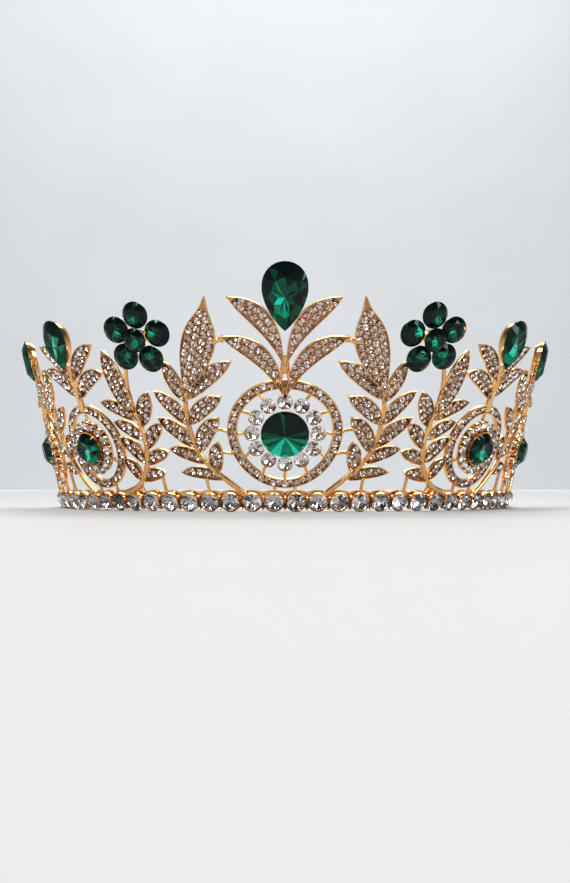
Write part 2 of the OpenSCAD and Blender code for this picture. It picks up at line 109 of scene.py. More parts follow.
def arc_table(a, b, last):
    """Running length of an oval arc for each whole degree."""
    t = np.arange(0, last + 1.0)
    steps = np.hypot(a * np.diff(sin_deg(t)), b * np.diff(cos_deg(t)))
    return np.concatenate([[0], np.cumsum(steps)]), t


def even_angles(a, b, step, multiple=1):
    """Angles from an oval's top that divide its length into equal parts of about a step."""
    run, angles = arc_table(a, b, 360)
    count = multiple * int(run[-1] / step / multiple)
    return np.interp(run[-1] * np.arange(count) / count, run, angles)


ARC_RUN, ARC_ANGLE = arc_table(BAND_HALF_W, BAND_DEPTH, 130)


def angle_at(s):
    return np.sign(s) * np.interp(np.abs(s), ARC_RUN, ARC_ANGLE)


def lean_dir(t):
    held = np.sign(t) * np.minimum(np.abs(t), FLARE_HOLD)
    forward = tan_deg(LEAN_END) + (tan_deg(LEAN_FRONT) - tan_deg(LEAN_END)) * cos_deg(t) ** 2
    return unit(np.stack([tan_deg(FLARE) * sin_deg(2 * held), -forward, np.ones_like(t)], -1))


def skin(s, v):
    t = angle_at(s)
    foot = np.stack([BAND_HALF_W * sin_deg(t), BAND_DEPTH * (1 - cos_deg(t)), np.full_like(t, ROW_Z)], -1)
    return foot + np.asarray(v, float)[..., None] * lean_dir(t)


def across(s, v):
    return unit(skin(s + 1, v) - skin(s - 1, v))


def stretch(s, v):
    """How much longer a step along the band is at this place of the wall."""
    return np.linalg.norm(skin(s + 1, v) - skin(s - 1, v), axis=-1) / 2


def out(s, v):
    return unit(np.cross(across(s, v), lean_dir(angle_at(s))))


def evened(*values):
    """The values as arrays of one common shape."""
    return np.broadcast_arrays(*(np.asarray(q, float) for q in values))


def wall(s, v, w=0.0):
    s, v, w = evened(s, v, w)
    return skin(s, v) + w[..., None] * out(s, v)


def oval_place(place, a, b, t):
    """The place at angle t of an oval with half sizes a and b round another place."""
    return np.array([place[0] + a * cos_deg(t) / stretch(*place), place[1] + b * sin_deg(t)])


def oval_point(place, a, b, t, w):
    return wall(*oval_place(place, a, b, t), w)


def seat_axes(place):
    """Directions along the band, up and out of the wall."""
    a = across(*place)
    n = out(*place)
    return a, np.cross(n, a), n


def spun(points, turn):
    """Points turned in their own plane."""
    c, d = cos_deg(turn), sin_deg(turn)
    x, y, z = np.moveaxis(points, -1, 0)
    return np.stack([x * c - y * d, x * d + y * c, z], -1)


def seated(points, place, w=0.0, roll=0.0):
    """Points of a rigid piece, moved to the wall at a place and turned by roll degrees."""
    a, u, n = seat_axes(place)
    p = spun(np.asarray(points, float), roll)
    return wall(place[0], place[1], w) + p[..., 0:1] * a + p[..., 1:2] * u + p[..., 2:3] * n


# Places [s, v]; positions along the band are counted in stone pitches
def at(q, v):
    return np.array([q * PITCH, v], float)


DROP_RATIO = 1.48
END_DROP_A = 2.6
END_DROP_RATIO = 1.62
GAP_W = PAVE_W * 0.38
RING_FOOT = RING_V - RING_R
POST_FOOT = BAND_H * 0.383
CUP_FLOOR = PLATE_T * 0.54
CUP_W = -PLATE_T / 2
SEAT_W = CUP_W + CUP_FLOOR + STONE_GAP
MIDDLE = np.array([0.0, RING_V])
RIVOLI = np.array([0.0, RING_V + RING_R * 0.05])
TOP_DROP = np.array([0.0, DROP_V])
FLOWER = at(5.05, FLOWER_V)
FLOWER_ROLL = 98
PETAL_ROLLS = [FLOWER_ROLL - 72 * i for i in range(5)]
PETAL_RING_R = EYE_D * 0.56 + PETAL_D / 2
MIDDLE_STONES = 12
MIDDLE_ROLLS = [360 * i / MIDDLE_STONES + 90 for i in range(MIDDLE_STONES)]
MIDDLE_SET_R = RIVOLI_R + RING_STONE_D * 0.55 + STONE_GAP + BEZEL_T


# Cut stones: half width and height, back, crown, the table's share of the width, and how much its facets'
# painted light is darkened
Gem = namedtuple("Gem", "a b back crown table pear shade")


def gem(a, b, back, crown, table=0.6, pear=False, shade=0.0):
    """A cut stone whose back and crown are given as shares of its half width."""
    return Gem(a, b, back * a, crown * a, table, pear, shade)


# Side motifs: place along the band, ring's half width and height, height, scale and posts' places; the
# drop's half width, back and crown, and the oval's back
MOTIFS = [
    SimpleNamespace(number=2, q=9.1, a=12.0, b=13.2, h=49.4, k=1.0, feet=(8.5, 9.7),
                    drop_cut=(5.0, 0.38, 0.32), oval_back=0.5),
    SimpleNamespace(number=3, q=14.4, a=10.3, b=12.3, h=46.4, k=SMALL, feet=(13.7, 15.3),
                    drop_cut=(4.4, 0.4, 0.34), oval_back=0.53),
]
for motif in MOTIFS:
    motif.halo_w = HALO_D * motif.k * 1.16
    motif.place = at(motif.q, RING_FOOT + motif.b)
    motif.drop_place = at(motif.q, motif.h)
    oval_a = motif.a - (PAVE_W + GAP_W) * motif.k - motif.halo_w - STONE_GAP - BEZEL_T
    motif.oval = gem(oval_a, oval_a * motif.b / motif.a, motif.oval_back, 0.42)
    drop_a, drop_back, drop_crown = motif.drop_cut
    motif.drop = gem(drop_a, drop_a * DROP_RATIO, drop_back, drop_crown, pear=True)
RIVOLI_CUT = gem(RIVOLI_R, RIVOLI_R, 0.34, 0.32, table=0.0)
TOP_DROP_CUT = gem(DROP_W / 2, DROP_H / 2, 0.36, 0.31, pear=True)
END_DROP_CUT = gem(END_DROP_A, END_DROP_A * END_DROP_RATIO, 0.5, 0.42, pear=True)
PETAL_CUT = gem(PETAL_D / 2, PETAL_D / 2, 0.46, 0.37, shade=0.2)
EYE_CUT = gem(EYE_D / 2, EYE_D / 2, 0.6, 0.43, shade=0.12)
END_PLACE = at(17.24, BRANCH_H[4] + END_DROP_CUT.b)

# Branch stems: along the band in stone pitches, up in shares of the branch's height
STEMS = {
    1: [(1.82, 0.04), (2.42, 0.1), (2.98, 0.156), (3.47, 0.227), (3.75, 0.32), (3.8, 0.47), (3.58, 0.605)],
    2: [(7.86, 0.059), (7.1, 0.097), (6.5, 0.176), (6.13, 0.28), (5.98, 0.387), (6.02, 0.516),
        (6.13, 0.613), (6.15, 0.753), (5.93, 0.905)],
    3: [(10.21, 0.058), (10.81, 0.148), (11.37, 0.26), (11.81, 0.41), (12.02, 0.59), (11.97, 0.73)],
    4: [(16.26, 0.058), (16.77, 0.21), (17.1, 0.39), (17.24, 0.61), (17.24, 1.0)],
}
STEM_SHARES = {1: (1.0, 0.8), 2: (1.2, 0.7), 3: (1.1, 0.8), 4: (1.0, 0.8)}

# Leaves: base up its stem, tip along, tip up, width in common leaf widths, bow
LEAVES = {
    1: [(0.57, 2.5, 1, 1.93, 0.04), (0.52, 1.82, 0.697, 1.05, -0.04), (0.4, 2.32, 0.53, 1.05, -0.06),
        (0.255, 2.52, 0.43, 1.05, -0.08), (0.148, 2.73, 0.308, 0.9, -0.05), (0.51, 4.32, 0.71, 0.9, -0.04),
        (0.395, 4.97, 0.568, 0.9, 0.02), (0.282, 5.08, 0.437, 0.95, 0.02), (0.205, 4.87, 0.279, 0.85, 0.04),
        (0.121, 4.55, 0.156, 0.8, 0.06)],
    2: [(0.59, 6.87, 0.996, 1.28, -0.05), (0.495, 5.32, 0.72, 1.05, 0), (0.55, 7.74, 0.673, 0.9, 0.04),
        (0.42, 7.31, 0.542, 0.9, 0.04), (0.262, 7.24, 0.44, 0.95, 0.04), (0.15, 7.35, 0.3, 0.85, 0.03),
        (0.355, 4.98, 0.52, 0.9, -0.04), (0.258, 4.92, 0.335, 0.85, -0.05), (0.15, 5.32, 0.198, 0.85, -0.05)],
    3: [(0.69, 11.75, 0.995, 1.3, 0), (0.61, 13.2, 0.79, 0.95, 0.04), (0.47, 12.8, 0.6, 0.9, 0.04),
        (0.35, 12.7, 0.435, 0.9, 0.04), (0.22, 12.58, 0.266, 0.85, 0.05), (0.53, 10.8, 0.713, 0.95, -0.04),
        (0.31, 11.15, 0.505, 0.9, -0.03)],
    4: [(0.76, 18.15, 0.97, 0.9, 0.04), (0.56, 18.27, 0.74, 0.9, 0.04), (0.35, 18.2, 0.5, 0.9, 0.05),
        (0.2, 18.06, 0.26, 0.85, 0.05), (0.76, 16.4, 0.955, 0.85, -0.04), (0.5, 16.34, 0.68, 0.8, -0.04)],
}
# Sprays above a ring: base and tip beside it in half ring widths, up in shares of the motif
SPRAY_1 = [(0.03, 0.69, 0.97, 0.997, 1.17, 0.12), (0.02, 0.535, 1.09, 0.815, 1.12, 0.14)]
SPRAY_2 = [(-0.06, 0.78, -1.02, 0.978, 1.05, -0.08), (0.06, 0.79, 1.15, 0.998, 0.98, 0.08),
           (-0.05, 0.66, -1.13, 0.81, 1.05, -0.12), (0.06, 0.68, 1.2, 0.85, 1, 0.1)]

# The free wire behind the band
FREE_WIRE = [(0.3, 0.26), (0.57, 0.55), (0.82, 0.8)]
EYE_TURN = 40
WIRE_EYE_W = 3.4
WIRE_EYE_H = 4.4
WIRE_EYE = np.array([55.0, 95.0, WIRE_EYE_H / 2 + 2 * WIRE_R])
WIRE_V = -BAND_H / 2 + WIRE_R * 1.12
WIRE_W = -BAND_T - WIRE_R * 1.12
WIRE_END_Q = STONES_A_SIDE - 1.8

# The frame's origin lies under the middle of the whole diadem
FRONT_Y = wall(0.0, DROP_V + TOP_DROP_CUT.b * TOP_DROP_CUT.table,
               SEAT_W + TOP_DROP_CUT.back + TOP_DROP_CUT.crown)[1]
REAR_Y = WIRE_EYE[1] + sin_deg(EYE_TURN) * (WIRE_EYE_W / 2 + WIRE_R) + WIRE_R
SHIFT = np.array([0.0, -(FRONT_Y + REAR_Y) / 2, 0.0])


# Mesh making
class Shape:
    """Points in millimetres and faces, each with the number of its material."""

    def __init__(self):
        self.points = np.zeros((0, 3))
        self.faces = []
        self.kinds = []

    def add(self, points, faces, kinds):
        base = len(self.points)
        self.points = np.concatenate([self.points, np.reshape(points, (-1, 3))])
        self.faces += [tuple(i + base for i in f) for f in faces]
        self.kinds += kinds

    def join(self, other, mirror=False):
        self.add(other.points * [-1 if mirror else 1, 1, 1], other.faces, other.kinds)


def on_sides(shape, *sides):
    """The right side's shape and its mirror image, or one of them."""
    placed = Shape()
    for side in sides or ("right", "left"):
        placed.join(shape, mirror=side == "left")
    return placed


SHARP_ANGLE = math.radians(38)


def linked(name, data):
    thing = bpy.data.objects.new(name, data)
    bpy.context.scene.collection.objects.link(thing)
    return thing


def new_mesh(name, points, faces, *materials):
    mesh = bpy.data.meshes.new(name)
    mesh.from_pydata(points, [], faces)
    for material in materials:
        mesh.materials.append(material)
    return linked(name, mesh)


def make(name, shape, materials, nodes=(), smooth=True):
    """A finished piece that rides on the body and stands for the given nodes."""
    piece = new_mesh(name, ((shape.points + SHIFT) * MM).tolist(), shape.faces, *materials)
    mesh = piece.data
    mesh.polygons.foreach_set("material_index", shape.kinds)
    tool = bmesh.new()
    tool.from_mesh(mesh)
    bmesh.ops.recalc_face_normals(tool, faces=tool.faces)
    tool.to_mesh(mesh)
    tool.free()
    if smooth:
        mesh.shade_smooth()
        mesh.set_sharp_from_angle(angle=SHARP_ANGLE)
    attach(piece, "root")
    if nodes:
        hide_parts(*nodes)


def strip(n, low, high):
    """Four-sided faces between two rings of n points, given the number of each ring's first point."""
    return [(low + j, low + (j + 1) % n, high + (j + 1) % n, high + j) for j in range(n)]


def loft(shape, rings, loop=False, kinds=None):
    """Skin over rings of points, with closed ends; kinds gives each strip along the rings its material."""
    m, n = np.shape(rings)[:2]
    rows = m if loop else m - 1
    faces = [face for i in range(rows) for face in strip(n, i * n, (i + 1) % m * n)]
    numbers = (kinds or [0] * n) * rows
    if not loop:
        faces += [tuple(range(n)), tuple(range((m - 1) * n, m * n))]
        numbers += [0, 0]
    shape.add(rings, faces, numbers)


def smooth_path(points, per=8):
    """Catmull-Rom curve through points, per steps each."""
    p = np.asarray(points, float)
    p = np.concatenate([[2 * p[0] - p[1]], p, [2 * p[-1] - p[-2]]])
    rows = []
    for i in range(1, len(p) - 2):
        for t in np.arange(per) / per:
            rows.append(0.5 * (2 * p[i] + (p[i + 1] - p[i - 1]) * t
                               + (2 * p[i - 1] - 5 * p[i] + 4 * p[i + 1] - p[i + 2]) * t ** 2
                               + (3 * p[i] - p[i - 1] - 3 * p[i + 1] + p[i + 2]) * t ** 3))
    rows.append(p[-2])
    return np.array(rows)


def tube(shape, path, radii, sides=12, up=(0, 0, 1), flat=1.0, loop=False):
    """Round wire along a path of points in space; flat squeezes it along up."""
    path = np.asarray(path, float)
    run = unit(np.roll(path, -1, 0) - np.roll(path, 1, 0) if loop else np.gradient(path, axis=0))
    up = np.broadcast_to(up, path.shape)
    side = unit(np.cross(run, up))
    over = np.cross(side, run)
    t = circle(sides)[:, None]
    radii = np.broadcast_to(radii, len(path))[:, None, None]
    loft(shape, path[:, None] + radii * (np.cos(t) * side[:, None] + flat * np.sin(t) * over[:, None]), loop)


def dome(shape, centre, normal, sides, profile):
    """A small round bump on the metal: radius and height of each of its rings."""
    a = unit(np.cross(normal, [0.3, 0.5, 0.81]))
    t = circle(sides)[:, None]
    ring = np.cos(t) * a + np.sin(t) * np.cross(normal, a)
    loft(shape, [centre + r * ring + w * normal for r, w in profile])


def bead(shape, centre, normal, r, sides, tall, steps):
    dome(shape, centre, normal, sides, [(r * math.cos(f), r * tall * math.sin(f))
                                        for f in np.linspace(-0.35, 1.35, steps + 1)])


# Metal parts
def wall_tube(shape, places, r0, r1, flat=1.0):
    """Tapered round stem along places of the wall."""
    s, v = smooth_path(places).T
    tube(shape, wall(s, v), np.linspace(r0, r1, len(s)), 12, out(s, v), flat)


def post(shape, start, end, r, w=0.0):
    """Short round post with a thicker solder joint at both ends."""
    share = np.array([0, 0.12, 0.3, 0.7, 0.88, 1])
    line = start + np.subtract(end, start) * share[:, None]
    radii = r * np.array([1.45, 1.15, 0.95, 0.95, 1.15, 1.45])
    tube(shape, wall(*line.T, w), radii, 10, out(*line.T))


def smooth_table(*rows):
    share, half = smooth_path(rows, 6).T
    return share, np.maximum(half, 0)


# Half width of a leaf as a share of its widest, by share of its length
COMMON_TABLE = smooth_table((0, 0.1), (0.1, 0.57), (0.25, 0.88), (0.42, 1), (0.52, 1), (0.68, 0.93),
                            (0.82, 0.7), (0.92, 0.4), (1, 0))
BIG_TABLE = smooth_table((0, 0.12), (0.1, 0.43), (0.23, 0.73), (0.35, 0.94), (0.47, 1.02), (0.58, 0.99),
                         (0.7, 0.78), (0.79, 0.5), (0.86, 0.29), (0.94, 0.15), (1, 0))
SPRAY_TABLE = smooth_table((0, 0.1), (0.12, 0.36), (0.26, 0.64), (0.42, 0.88), (0.56, 1), (0.7, 0.97),
                           (0.83, 0.74), (0.92, 0.42), (1, 0))
BIG_LEAF_W = 8
BARE_FROM = 0.92
BIG_BARE_FROM = 0.86
# Heights over the wall's middle: a plate's back, its rim, the sunk floor and the small stones' edges
BACK_W = -0.5
RIM_W = 0.5
RIM_TOP_W = 0.55
FLOOR_W = -0.28
GIRDLE_W = 0.36
GRAIN_W = 0.08
GRAIN_R = 0.17
GRAIN = [(GRAIN_R * r, w) for r, w in ((0.8, -0.75), (1, -0.05), (0.85, GRAIN_R * 0.4), (0.4, GRAIN_R * 0.7))]
CLAW_R = 0.3
RIM = 0.27
RIM_LAP = 0.14
LEAF_ROWS = 22


class Leaf:
    """Spots on a leaf, by share of its length and millimetres to its side."""

    def __init__(self, base, tip, width, bow, rise=0.0, table=COMMON_TABLE):
        self.base = np.asarray(base, float)
        tip = np.asarray(tip, float)
        self.k = stretch(*((self.base + tip) / 2))
        self.run = np.array([(tip[0] - self.base[0]) * self.k, tip[1] - self.base[1]])
        self.length = np.linalg.norm(self.run)
        self.aside = np.array([-self.run[1], self.run[0]]) / self.length
        self.width, self.bow, self.rise, self.table = width, bow, rise, table
        self.bare = BIG_BARE_FROM if width > BIG_LEAF_W else BARE_FROM

    def half(self, u):
        """Half width in millimetres at a share of the length."""
        return self.width / 2 * np.interp(u, *self.table)

    def spot(self, u, side, w):
        u, side, w = evened(u, side, w)
        off = side + self.bow * self.length * 4 * u * (1 - u)
        q = u[..., None] * self.run + off[..., None] * self.aside
        curl = 0.35 * (2 * u - 1) ** 2 - 0.2 + self.rise * np.clip(1 - 1.6 * u, 0, 1)
        return wall(self.base[0] + q[..., 0] / self.k, self.base[1] + q[..., 1], w + curl)

    def normal(self, u, side):
        a = self.spot(u + 0.02, side, 0) - self.spot(u - 0.02, side, 0)
        b = self.spot(u, side + 0.2, 0) - self.spot(u, side - 0.2, 0)
        n = unit(np.cross(a, b))
        return n * np.sign(np.dot(n, out(*self.base)))


def leaf_plate(shape, leaf):
    """Leaf with a raised rim round a sunk floor; the floor gets the darker gold, painted shade in the hollow.
    """
    u = np.concatenate([[-0.03], (1 - np.cos(np.pi * np.arange(1, LEAF_ROWS) / LEAF_ROWS)) / 2, [1.0]])
    rings = []
    for x in u:
        h = max(leaf.half(x), 0.32 if x < 0.3 else 0.1)
        rim = min(RIM, h * 0.4)
        deep = min(max((h - 0.55) / 0.6, 0), max((leaf.bare - x) / 0.03, 0), 1)
        floor = RIM_W - (RIM_W - FLOOR_W) * deep
        keel = 0.22 * min(h, 1) * (1 - deep)
        right = [(h - rim * 1.25, floor), (h - rim, RIM_W), (h - rim * 0.35, RIM_TOP_W), (h, 0.32),
                 (h, -0.12), (h * 0.86, BACK_W)]
        left = [(-side, w) for side, w in reversed(right)]
        side, w = np.array(left + [(0, floor + keel)] + right + [(0, BACK_W - 0.12)]).T
        rings.append(leaf.spot(x, side, w))
    # The floor's two strips take the darker gold: painted shade between the small stones.
    loft(shape, rings, kinds=[0] * 5 + [1] * 2 + [0] * 7)


def leaf_stones(leaf, d):
    """Columns of small stones, then smaller ones in the gaps: each one's place along, aside and diameter."""
    wide = leaf.width - 2 * RIM + 2 * RIM_LAP
    columns = int((wide - d) / (0.87 * d)) + 1
    gap, pitch = 0, 1.03 * d
    if columns > 1:
        gap = min((wide - d) / (columns - 1), d)
        pitch = max(pitch, 2 * math.sqrt(max(1.05 * d * d - gap * gap, 0)))
    placed = np.zeros((0, 3))

    def room(along, side, size):
        u = along / leaf.length
        return (0.045 < u < leaf.bare - size / 2 / leaf.length
                and abs(side) + size / 2 < leaf.half(u) - RIM + RIM_LAP)

    def clear(along, side, size):
        far = np.hypot(placed[:, 0] - along, placed[:, 1] - side)
        return np.all(far > (size + placed[:, 2]) / 2 * 0.97)

    for j in range(columns):
        side = (j - (columns - 1) / 2) * gap
        first = leaf.length * 0.07 + (pitch / 2 if j % 2 else 0)
        for along in np.arange(first, leaf.length, pitch):
            if room(along, side, d):
                placed = np.vstack([placed, [along, side, d]])
    sides = sorted(np.arange(-wide / 2, wide / 2, 0.22), key=abs)
    for size in (d, d * 0.86, d * 0.72, d * 0.6):
        for along in np.arange(0.5, leaf.length, 0.25):
            for side in sides:
                if room(along, side, size) and clear(along, side, size):
                    placed = np.vstack([placed, [along, side, size]])
    return placed


def new_pave():
    """Small stones as rows of centre, normal and size, and beads between them as centre and normal."""
    return SimpleNamespace(rows=[], beads=[])


def pave_leaf(pave, leaf, d):
    placed = leaf_stones(leaf, d)
    for along, side, size in placed:
        u = along / leaf.length
        pave.rows.append((leaf.spot(u, side, GIRDLE_W), leaf.normal(u, side), size))
    for i, p in enumerate(placed):
        for q in placed[i + 1:]:
            dx, dy = q[0] - p[0], q[1] - p[1]
            far = math.hypot(dx, dy)
            if far < (p[2] + q[2]) / 2 * 1.2:
                for turn in (-0.46, 0.46):
                    u = ((p[0] + q[0]) / 2 - dy / far * turn * d) / leaf.length
                    side = (p[1] + q[1]) / 2 + dx / far * turn * d
                    if abs(side) < leaf.half(u) - RIM:
                        pave.beads.append((leaf.spot(u, side, GIRDLE_W + GRAIN_W), leaf.normal(u, side)))


# Unit small stone: girdle radius 1, table on top, point below
PAVE_SIDES = 8
PAVE_CROWN = 0.42
PAVE_TABLE = 0.56
PAVE_BACK = 0.78

# Numbers of the materials on a clear stone, whose one silver foil is painted lit, shaded or in deep shade
# facet by facet; the shares of bright and of dark foil
GLASS, BRIGHT, MIDDLING, DARK = range(4)
PAVE_BACKS = [BRIGHT, MIDDLING, BRIGHT, BRIGHT, DARK, BRIGHT, MIDDLING, BRIGHT]
BRIGHT_TO = 0.6
DARK_FROM = 0.83


# Each back facet's foil is painted bright, shaded or dark by chance: painted reflections of light and shade.
def foil_kind(chance):
    draw = chance.random()
    if draw < BRIGHT_TO:
        return BRIGHT
    return DARK if draw > DARK_FROM else MIDDLING


def pave_unit():
    n = PAVE_SIDES
    t = circle(n)
    half = t + math.pi / n
    girdle = np.stack([np.cos(t), np.sin(t), np.zeros_like(t)], -1)
    table = np.stack([np.cos(half), np.sin(half), np.full_like(t, PAVE_CROWN / PAVE_TABLE)], -1) * PAVE_TABLE
    points = np.concatenate([girdle, table, [[0, 0, -PAVE_BACK]]])
    faces = [tuple(range(n, 2 * n))]
    for i in range(n):
        k = (i + 1) % n
        faces += [(i, k, n + i), (k, n + k, n + i)]
    crown = len(faces)
    faces += [((i + 1) % n, i, 2 * n) for i in range(n)]
    return points, faces, [GLASS] * crown + PAVE_BACKS


def pave_shape(pave, chance):
    """All small stones, each tilted a little and turned by chance."""
    points, faces, kinds = pave_unit()
    shape = Shape()
    for centre, normal, d in pave.rows:
        tilted = unit(normal + chance.normal(0, 0.07, 3))
        a = unit(np.cross(tilted, unit(chance.normal(0, 1, 3))))
        axes = np.array([a, np.cross(tilted, a), tilted])
        shape.add(centre + d / 2 * (points @ axes), faces, kinds)
    return shape


def pave_beads(pave):
    kept = []
    shape = Shape()
    for centre, normal in pave.beads:
        if all(np.abs(centre - q).max() > 0.3 for q in kept[-60:]):
            kept.append(centre)
            dome(shape, centre, normal, 6, GRAIN)
    return shape


def pave_ring(shape, pave, place, a, b, width, d, steps, zigzag, bare=0):
    """Oval ring with a file of small stones; bare is the half angle at its top that leaves cover."""
    rim = 0.36
    outer = [(0, BACK_W), (0.02, 0.3), (-0.1, 0.54), (-rim, 0.52), (-rim * 1.2, FLOOR_W)]
    inner = [(-width + rim * 1.2, FLOOR_W), (-width + rim, 0.52), (-width + 0.1, 0.54), (-width, 0.3),
             (-width, BACK_W)]
    profile = outer + [(-width / 2, FLOOR_W)] + inner + [(-width / 2, BACK_W - 0.12)]
    # The sunk floor's two strips take the darker gold: painted shade between the small stones.
    loft(shape, [[oval_point(place, a + x, b + x, t, w) for x, w in profile]
                 for t in np.arange(steps) * 360 / steps], True, [0] * 4 + [1] * 2 + [0] * 6)
    a, b = a - width / 2, b - width / 2
    for i, turn in enumerate(even_angles(a, b, d * 0.93, 2)):
        t = 90 - turn
        if abs((t + 90) % 360 - 180) < bare:
            continue
        off = zigzag * (1 if i % 2 else -1)
        side = -off * 2.6
        normal = out(*oval_place(place, a, b, t))
        pave.rows.append((oval_point(place, a + off, b + off, t, GIRDLE_W), normal, d))
        pave.beads.append((oval_point(place, a + side, b + side, t, GIRDLE_W + GRAIN_W), normal))


# Cut stones
PEAR_POWER = 0.75
PEAR_PEAK = 0.812


def round_points(a, b, n):
    t = circle(n)
    return np.stack([a * np.cos(t), b * np.sin(t)], -1)


def edge_points(g, n):
    """Points of a stone's edge: an oval, or a drop with its point down."""
    if not g.pear:
        return round_points(g.a, g.b, n)
    t = circle(n)
    return np.stack([g.a / PEAR_PEAK * np.sin(t) * np.sin(t / 2) ** PEAR_POWER, -g.b * np.cos(t)], -1)


def lift(points, share, z):
    return np.concatenate([points * share, np.full((len(points), 1), z)], -1)


def rings_of(g, n, thick=0.06):
    """A stone's half points, its girdle's rings, their number of points, its table and its kites' tips."""
    edge = edge_points(g, 4 * n)
    half = edge[2::4]
    table = lift(edge[::4], g.table, g.back + g.crown)
    mid = lift(half, 0.5 * (1 + g.table), g.back + g.crown * 0.56)
    return half, lift(edge, 1, g.back - thick * g.a), lift(edge, 1, g.back), 4 * n, table, mid


def clear_brilliant(g, chance, n):
    """Brilliant cut: table, stars, kites, upper halves, girdle, lower halves and mains."""
    half, low, high, e, table, mid = rings_of(g, n)
    belly = lift(half, 0.48, low[0, 2] * 0.42)
    points = np.concatenate([low, high, table, mid, belly, [[0, 0, 0]]])
    t0, m0, b0, c0 = (2 * e + n * i for i in range(4))
    faces = [tuple(range(t0, t0 + n))]
    kinds = [GLASS]
    for i in range(n):
        k, before, l0, g0 = (i + 1) % n, (i - 1) % n, 4 * i, e + 4 * i
        faces += [(t0 + i, m0 + i, t0 + k), (t0 + i, m0 + before, g0), (t0 + i, g0, m0 + i)]
        faces += [(m0 + i, g0 + j, e + (4 * i + j + 1) % e) for j in range(4)]
        kinds += [GLASS] * 7
        faces += [(c0, b0 + before, l0), (c0, l0, b0 + i)]
        faces += [(b0 + i, l0 + j, (l0 + j + 1) % e) for j in range(4)]
        for _ in range(3):
            kinds += [foil_kind(chance)] * 2
    return points, faces + strip(e, 0, e), kinds + [GLASS] * e


# A green stone's facets have four greens of painted light and shade: the plain back's, the lightness between
# two, and the painted highlight where it glows
DEEP_GREEN = 1
GREEN_STEPS = (0.34, 0.62, 0.86)
GLOW_X, GLOW_Y, GLOW_R = -0.22, -0.08, 0.37
TABLE_DISH = 0.09


def brilliant_light(x, y):
    """Painted shade darkest at the stone's top, with a painted highlight glowing a little under its middle.
    """
    glow = math.exp(-((x - GLOW_X) ** 2 + (y - GLOW_Y) ** 2) / GLOW_R ** 2)
    return 0.26 - 0.25 * y + 0.72 * glow


def rivoli_light(x, y):
    """Painted light and shade: lighter to its foot, with a lighter wedge at its top."""
    return 0.42 - 0.8 * y + (0.5 if y > 3.5 * abs(x) else 0)


def green_mesh(points, faces, e, g, light, spread, chance):
    """Adds the greens of painted light and shade, girdle and back; points start with the girdle's two rings
    of e and end with the tip.
    """
    kinds = []
    for face in faces:
        x, y = np.mean([points[i][:2] for i in face], axis=0) / (g.a, g.b)
        value = light(x, y) - g.shade + chance.normal(0, spread)
        kinds.append(sum(value > step for step in GREEN_STEPS))
    back = [(len(points) - 1, (j + 1) % e, j) for j in range(e)]
    return points, faces + strip(e, 0, e) + back, kinds + [DEEP_GREEN] * 2 * e


def green_brilliant(g, chance, n):
    """Green brilliant: crown facets, and in its table facets painted as the back facets that would show
    through it.
    """
    half, low, high, e, table, mid = rings_of(g, n)
    top, dish = g.back + g.crown, TABLE_DISH * g.a
    inner = lift(half, g.table * 0.52, top - dish * 0.6)
    points = np.concatenate([low, high, table, inner, mid, [[0, 0, top - dish]], [[0, 0, 0]]])
    t0, i0, m0, heart = (2 * e + n * i for i in range(4))
    faces = []
    for i in range(n):
        k, before = (i + 1) % n, (i - 1) % n
        g0, g4 = e + 4 * i, e + 4 * k
        faces += [(heart, i0 + before, t0 + i), (heart, t0 + i, i0 + i), (i0 + i, t0 + i, t0 + k),
                  (t0 + i, m0 + i, t0 + k), (t0 + i, m0 + before, g0), (t0 + i, g0, m0 + i),
                  (m0 + i, g0, g0 + 1, g0 + 2), (m0 + i, g0 + 2, g0 + 3, g4)]
    return green_mesh(points, faces, e, g, brilliant_light, 0.17, chance)


def rivoli(g, chance, n):
    """Round stone with a point in front: long wedges in two halves, small facets at their feet."""
    half, low, high, e, _, _ = rings_of(g, n, 0.05)
    foot = lift(half, 0.86, g.back + g.crown * 0.27)
    points = np.concatenate([low, high, foot, [[0, 0, g.back + g.crown]], [[0, 0, 0]]])
    f0, peak = 2 * e, 2 * e + n
    faces = []
    for i in range(n):
        a, c = e + 4 * i, e + (4 * i + 4) % e
        faces += [(peak, a, f0 + i), (peak, f0 + i, c), (f0 + i, a, a + 1, a + 2),
                  (f0 + i, a + 2, a + 3, c)]
    return green_mesh(points, faces, e, g, rivoli_light, 0.16, chance)


def add_stone(shape, g, place, w, chance, roll=0.0, offset=(0.0, 0.0), cut=clear_brilliant, n=8, turn=0.0):
    points, faces, kinds = cut(g, chance, n)
    shape.add(seated(spun(points, turn) + [*offset, 0], place, w, roll), faces, kinds)


def turned(shape, edge, profile, place, w=0.0, roll=0.0, offset=(0.0, 0.0)):
    """A cup: an edge at each scale and height of a profile."""
    loft(shape, [seated(lift(edge, scale, z) + [*offset, 0], place, w, roll) for scale, z in profile])


def cup(shape, g, place, roll=0.0, offset=(0.0, 0.0), raised=0.0, tuck=0.12, foot=0.8, n=32):
    """Thin cup under a stone's edge; tuck hides its rim below the stone."""
    top_z = CUP_FLOOR + STONE_GAP + g.back
    share = 1 - tuck / g.a
    profile = [(foot, 0.0), (share * 0.97, (top_z - 0.3) * 0.55), (share, top_z - 0.12),
               (share - 0.05, top_z - 0.1), (foot * 0.9, CUP_FLOOR * 0.6)]
    turned(shape, edge_points(g, n), profile, place, CUP_W + raised, roll, offset)


